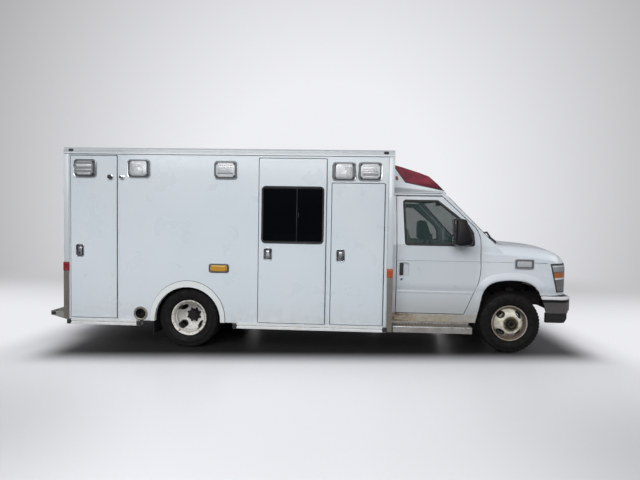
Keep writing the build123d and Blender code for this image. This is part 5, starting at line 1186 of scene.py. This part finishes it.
def add_flare(shape, side):
    """The rolled lip and soft flare round a front wheel opening."""
    edge = mm("-402 510, -388 594, -367 720, -341 782, -305 833, -254 873, -190 897,"
              "-105 912, -20 918, 65 916, 150 906, 225 883, 286 845, 326 793")
    last = len(edge) - 1
    rows = []
    for offset, out in mm("-4 -30, -4 6, 2 13.5, 14 16.5, 34 15, 60 9, 84 2.5, 98 -2"):
        row = []
        for n, (x, z) in enumerate(edge):
            run = (Vector(edge[min(n + 1, last)]) - Vector(edge[max(n - 1, 0)])).normalized()
            fade = min(1.0, 0.35 + n / 5, 0.25 + (last - n) / 4) if out > 0 else 1.0
            z += run.x * offset
            skin = CAB_SIDE - max(0.0, CREASE_Z - z) * TUCK
            row.append(V(FRONT + x - run.y * offset, side * (skin + out * fade), z))
        rows.append(row)
    shape.loft("cab", rows, False, False, closed=False)


def make_cab_side_details():
    """Door latches, keyholes, feature lines and creases; flares and fender lamps."""
    for side, label in SIDES:
        face = side_face(side, CAB_SIDE)
        shape = Shape(f"cab_door_details_{label}")
        x, z = MODULE_FRONT + 0.17, 1.029
        shape.plate("cab", face, (x, z), (0.128, 0.174), 0.022, "0 0, 0 1.8, 2 3, 5 2.8, 8 -4", False)
        shape.plate("black", face, (x - 0.036, z), (0.05, 0.156), 0.01, "0 -9, 0 1, 3 3, 10 3.4")
        keyhole = face.at(MODULE_FRONT + 0.137, 0.905, 0)
        shape.lathe("satin", keyhole, face.w, "16.5 0, 16 3, 12 4", 20)
        shape.lathe("black", keyhole, face.w, "12 3.5, 4 3.6", 16, True)
        add_swage(shape, face, MODULE_FRONT + 0.084, FRONT - 0.398)
        add_strip(shape, "trim", face, MODULE_FRONT + 0.084, FRONT - 0.48, CREASE_Z,
                  "-26 -5, -12 0.6, 0 3.8, 10 3.2, 20 0.4, 24 -3")
        shape.done(f"cab_door_{label}", (), 40)

        shape = Shape(f"fender_details_{label}")
        add_flare(shape, side)
        add_swage(shape, face, FRONT - 0.38, FRONT + 0.02)
        add_swage(shape, face, FRONT + 0.262, FRONT + 0.42)
        at = (FRONT + 0.139, 1.122)
        shape.plate("chrome", face, at, (0.232, 0.126), 0.02, "0 -4, 0 10, 3 15, 12 18, 20 17, 24 11")
        shape.plate("gasket", face, at, (0.196, 0.092), 0.014, "0 12, 3 18.5, 8 18.5, 10 12", False)
        shape.plate("reflector", face, at, (0.178, 0.074), 0.012, "0 10, 1 13, 10 15")
        shape.plate("clear", face, at, (0.182, 0.078), 0.014, "0 12, 1 20, 6 23.5, 20 25")
        shape.done("root", (), 40)


def make_front():
    """The dark mesh behind the grille."""
    low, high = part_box("grille")
    shape = Shape("grille_mesh")
    x, cell, margin = low.x - 0.004, 0.034, 0.03
    shape.box("black", (x - 0.03, low.y + 0.01, low.z + 0.02), (x, high.y - 0.01, high.z - 0.02), 0.004)
    for n in range(int((high.y - low.y - 2 * margin) / cell)):
        y = low.y + margin + cell * n
        shape.box("trim_black", (x, y, low.z + margin), (x + 0.01, y + 0.006, high.z - margin))
    for n in range(int((high.z - low.z - 2 * margin) / cell)):
        z = low.z + margin + cell * n
        shape.box("trim_black", (x, low.y + margin, z), (x + 0.01, high.y - margin, z + 0.006))
    shape.done("root", (), 30)


# ---------------------------------------------------------------- cap over the cab
# height, half width, and the front's edge and middle behind the front axle
CAP_LEVELS = mm("1990 866 -800 -702, 2110 812 -900 -800, 2420 612 -1195 -1115")


def cap_at(z):
    """Half width of the cap and its front edges at a height."""
    low, high = CAP_LEVELS[:2] if z < CAP_LEVELS[1][0] else CAP_LEVELS[1:]
    t = (z - low[0]) / (high[0] - low[0])
    return [a + (b - a) * t for a, b in zip(low[1:], high[1:])]


def make_cap_trim():
    """The gasket between cap and lens, the gutter's shadow lines and the cap's two side markers."""
    shape = Shape("cap_gasket")
    top, bend, far = V(MODULE_FRONT + 0.04, 2.39), V(MODULE_FRONT + 0.19, 2.13), V(FRONT - 0.7, 1.997)
    slope = (far.y - bend.y) / (far.x - bend.x)

    def seam(x, z):
        return V(x, -cap_at(z)[0] - 0.0005, z)

    side_run = [seam(*top.lerp(bend, n / 4)) for n in range(5)]
    front_run = []
    for n in range(25):
        across = -1 + 2 * n / 24
        z = 2.05
        for _ in range(6):               # settles where the seam's slope meets the cap's front
            half, edge, middle = cap_at(z)
            x = FRONT + edge + (middle - edge) * (1 - across * across)
            z = bend.y + slope * (x - bend.x)
        front_run.append(V(x + 0.0005, half * across, z))
    for n in range(1, 8):
        x = bend.x + (front_run[0].x - bend.x) * n / 8
        side_run.append(seam(x, bend.y + slope * (x - bend.x)))
    other_side = [V(p.x, -p.y, p.z) for p in reversed(side_run)]
    shape.tube("trim_black", side_run + front_run + other_side, 0.0055, 8)
    for side in (-1, 1):
        # two thin dark tubes along the cab just under the cap: painted shadow lines
        for z, out in ((1.9875, 0.0035), (1.96, 0.0045)):
            y = side * (cab_half(lean_at(z)) + out)
            shape.tube("gasket", [V(MODULE_FRONT + 0.006, y, z), V(FRONT - 0.85, y, z)], 0.003, 6)
        z = 2.185
        up, out = V(0, -side * 0.542, 0.84).normalized(), V(0, side * 0.84, 0.542).normalized()
        face = Face(V(MODULE_FRONT + 0.085, side * cap_at(z)[0], z), X, up, out)
        shape.plate("gasket", face, (0, 0), (0.034, 0.066), 0.0169, "0 -2, 0 4, 3 6", steps=6)
        shape.plate("orange", face, (0, 0), (0.026, 0.056), 0.0129, "0 4, 1 11, 5 14", steps=6)
    shape.done("root", (), 50)


# ---------------------------------------------------------------- seats
def add_pad(shape, place, u, v, w, half, crown, channels, steps=18):
    """A stuffed pad: rounded block with a crowned face, sides drawn in and sewn channels across v."""
    verts = {}

    def spot(*abc):
        key = tuple(round(n, 6) for n in abc)
        if key not in verts:
            norm = sum(abs(n) ** 9 for n in abc) ** (1 / 9)
            x, y, z = (n / norm for n in abc)
            groove = sum(0.011 * math.exp(-((y - at) / 0.055) ** 2) for at in channels)
            rise = (crown * (1 - x ** 4) * (1 - y ** 4) - groove * (1 - x ** 6)) * max(z, 0)
            x_pull, y_pull = (1 - 0.03 * (1 - n * n) * (1 - z * z) for n in (y, x))
            verts[key] = shape.bm.verts.new(
                place + u * x * half[0] * x_pull + v * y * half[1] * y_pull + w * (z * half[2] + rise))
        return verts[key]

    ticks = [math.sin(math.pi / 2 * (2 * n / steps - 1)) for n in range(steps + 1)]
    faces = []
    for fixed in range(3):
        for level in (-1.0, 1.0):
            for a, b in zip(ticks, ticks[1:]):
                for c, d in zip(ticks, ticks[1:]):
                    corners = [[a, c], [b, c], [b, d], [a, d]]
                    faces.append([spot(*pair[:fixed], level, *pair[fixed:]) for pair in corners])
    shape.skin("seat", faces)


SEAT_Y = 0.48


def make_seats():
    """Two seats: cushion, back and headrest as padded vinyl with piping, on their dark pedestals."""
    floor_z = ends("seats", 2)[0]
    tilt = V(-0.16, 0, 0.55).normalized()
    ahead = V(tilt.z, 0, -tilt.x)
    base = MODULE_FRONT
    for side, label in SIDES:
        y = side * SEAT_Y
        for part, place, u, w, half, crown, channels in (
            ("cushion", V(base + 0.58, y, 0.962), X, Z, (0.232, 0.252, 0.056), 0.012, (-0.42, 0.42)),
            ("back", V(base + 0.262, y, 1.272), tilt, ahead, (0.275, 0.25, 0.062), 0.014, (-0.45, 0.45)),
            ("headrest", V(base + 0.172, y, 1.588), tilt, ahead, (0.048, 0.135, 0.036), 0.006, ()),
        ):
            shape = Shape(f"seat_{part}_{label}")
            add_pad(shape, place, u, Y, w, half, crown, channels)
            outline = []
            for way in circle(64, X, Y):
                way /= (abs(way.x) ** 7 + abs(way.y) ** 7) ** (1 / 7)
                flat = u * way.x * half[0] + Y * way.y * half[1]
                outline.append(place + flat * 0.975 + w * half[2] * 0.72)
            shape.tube("piping", outline, 0.0045, 6, True)
            piece = shape.done("root", ("seats",), 70)
        shape = Shape(f"seat_stand_{label}")
        shape.box("dash", (base + 0.3, y - 0.2, floor_z), (base + 0.72, y + 0.2, 0.905), 0.012)
        for reach in (-0.07, 0.07):
            root = V(base + 0.19, y + reach, 1.515)
            shape.tube("satin", [root, root + tilt * 0.05], 0.006)
        shape.done("root", ("seats",), 40)


# ---------------------------------------------------------------- studio
BACKDROP_CENTRE = V(0.34, -6.3, 1.57)                   # the backdrop is round about this point
WALL_BRIGHT = V(-0.024, 0.9953, 0.057).normalized()   # where the backdrop is palest
FLOOR_REACH = 60.0


def backdrop(direction):
    """The backdrop's tone in a direction, as a slightly cool grey's value."""
    dot = direction.nodes.add("VectorMath", "Value", {0: direction, 1: WALL_BRIGHT}, operation="DOT_PRODUCT")
    return dot.span(0.745, 0.965, 0.44, 0.875)


def blue_grey(value):
    """A very slightly cool grey of the given value."""
    return value.nodes.add(
        "CombineColor", "Color", {"Red": value * 0.985, "Green": value * 0.99, "Blue": value * 1.02})


def make_floor():
    """A pale floor that keeps the object's shadow, with a painted shadow below the vehicle and painted
    fall-off of light towards the front, and melts into the backdrop behind it.
    """
    p = Paint("studio_floor", 0.34, Specular_IOR_Level=0.3)
    seen = p.add("LightPath", "Is Camera Ray")
    x, y = p.x, p.y
    away = abs(x - 0.1)
    # the floor's tone darkens towards the front and its near corners: painted fall-off of light
    corner = away.smooth(0.8, 3.0, 0.0, 0.24) * y.smooth(-3.7, -1.5, 1.0, 0.0)
    tone = y.smooth(-3.8, -1.9, 0.7, 0.8) - corner
    # painted shadow below the vehicle, fading out just past its sides
    across = abs(y - x * 0.09).smooth(1.16, 1.74, 1.0, 0.0)
    along = abs(x - ((MODULE_REAR + FRONT) / 2 + 0.485)).smooth(3.00, 3.56, 1.0, 0.0)
    lit = 1.0 - across * along * 0.975
    p.set(Base_Color=p.mix(seen, (0.26, 0.26, 0.265), blue_grey(tone * lit)))
    # beyond the object the floor glows as pale as the backdrop
    outward = p.add("VectorMath", "Vector", {0: p.coords, 1: BACKDROP_CENTRE}, operation="SUBTRACT")
    wall = backdrop(p.add("VectorMath", "Vector", {0: outward}, operation="NORMALIZE"))
    outer = p.add("VectorMath", "Value", {0: p.coords}, operation="LENGTH").smooth(7.0, 12.0)
    far = y.smooth(3.8, 9.0).most(outer)
    near = y.smooth(0.4, 5.2, 0.83, 0.545) * y.smooth(-4.0, -0.8, 0.68, 1.02)
    light = p.add("Emission", 0, {"Color": blue_grey(near * (1.0 - far) + wall * far)})
    share = y.smooth(1.3, 2.8).most(away.smooth(3.35, 4.1) * y.smooth(-3.0, -1.3)).most(outer) * seen
    fade = p.add("MixShader", 0, {"Fac": share, 1: Value(p, p.shader.outputs[0]), 2: light})
    p.put(p.tree.nodes["Material Output"].inputs["Surface"], fade)
    mesh = bpy.data.meshes.new("studio_floor")
    corners = [(a * FLOOR_REACH, b * FLOOR_REACH, 0) for a, b in ((-1, -1), (1, -1), (1, 1), (-1, 1))]
    mesh.from_pydata(corners, [], [(0, 1, 2, 3)])
    mesh.materials.append(M["studio_floor"])
    floor = add_object("studio_floor", mesh)


def make_studio():
    """The backdrop, seen as a pale wall but lighting the object from overhead, and the lamps."""
    world = bpy.data.worlds.new("studio")
    bpy.context.scene.world = world
    world.use_nodes = True
    w = Nodes(world.node_tree, "Generated")
    seen = w.add("LightPath", "Is Camera Ray").most(w.add("LightPath", "Is Transmission Ray"))
    overhead = w.z.span(0.02, 0.45, 0.13, 0.47)
    background = w.tree.nodes["Background"]
    w.put(background.inputs["Color"], w.mix(seen, blue_grey(overhead), blue_grey(backdrop(w.coords))))
    background.inputs["Strength"].default_value = 1.0
    for name, place, aim, size, power in (
        ("key", V(-1.5, -8.0, 5.0), V(0.2, 0, 1.0), (8.0, 4.0), 590),
        ("top", V(0.0, -1.5, 7.5), V(0, 0, 0), (9.0, 5.0), 40),
        ("back", V(0.5, 9.0, 4.6), V(0, 0, 1.2), (8.0, 4.0), 330),
        ("nose", V(8.0, -2.0, 4.0), V(2.0, 0, 1.0), (4.0, 4.0), 110),
    ):
        data = bpy.data.lights.new(name, "AREA")
        data.shape, data.energy = "RECTANGLE", power
        data.size, data.size_y = size
        lamp = add_object(name, data)
        lamp.location = place
        lamp.rotation_euler = (aim - place).to_track_quat("-Z", "Y").to_euler()
    bpy.context.scene.view_settings.view_transform = "Standard"


for make in (
    make_camera, make_tyres, make_wheel_details, make_lamps, make_markers, make_door_fittings,
    make_entry_window, make_skirt_details, make_body_trim, make_door_holders, make_exhaust, make_steps,
    make_door_windows, make_windscreen_trim, make_mirrors, make_cab_side_details, make_front,
    make_cap_trim, make_seats, make_floor, make_studio,
):
    make()
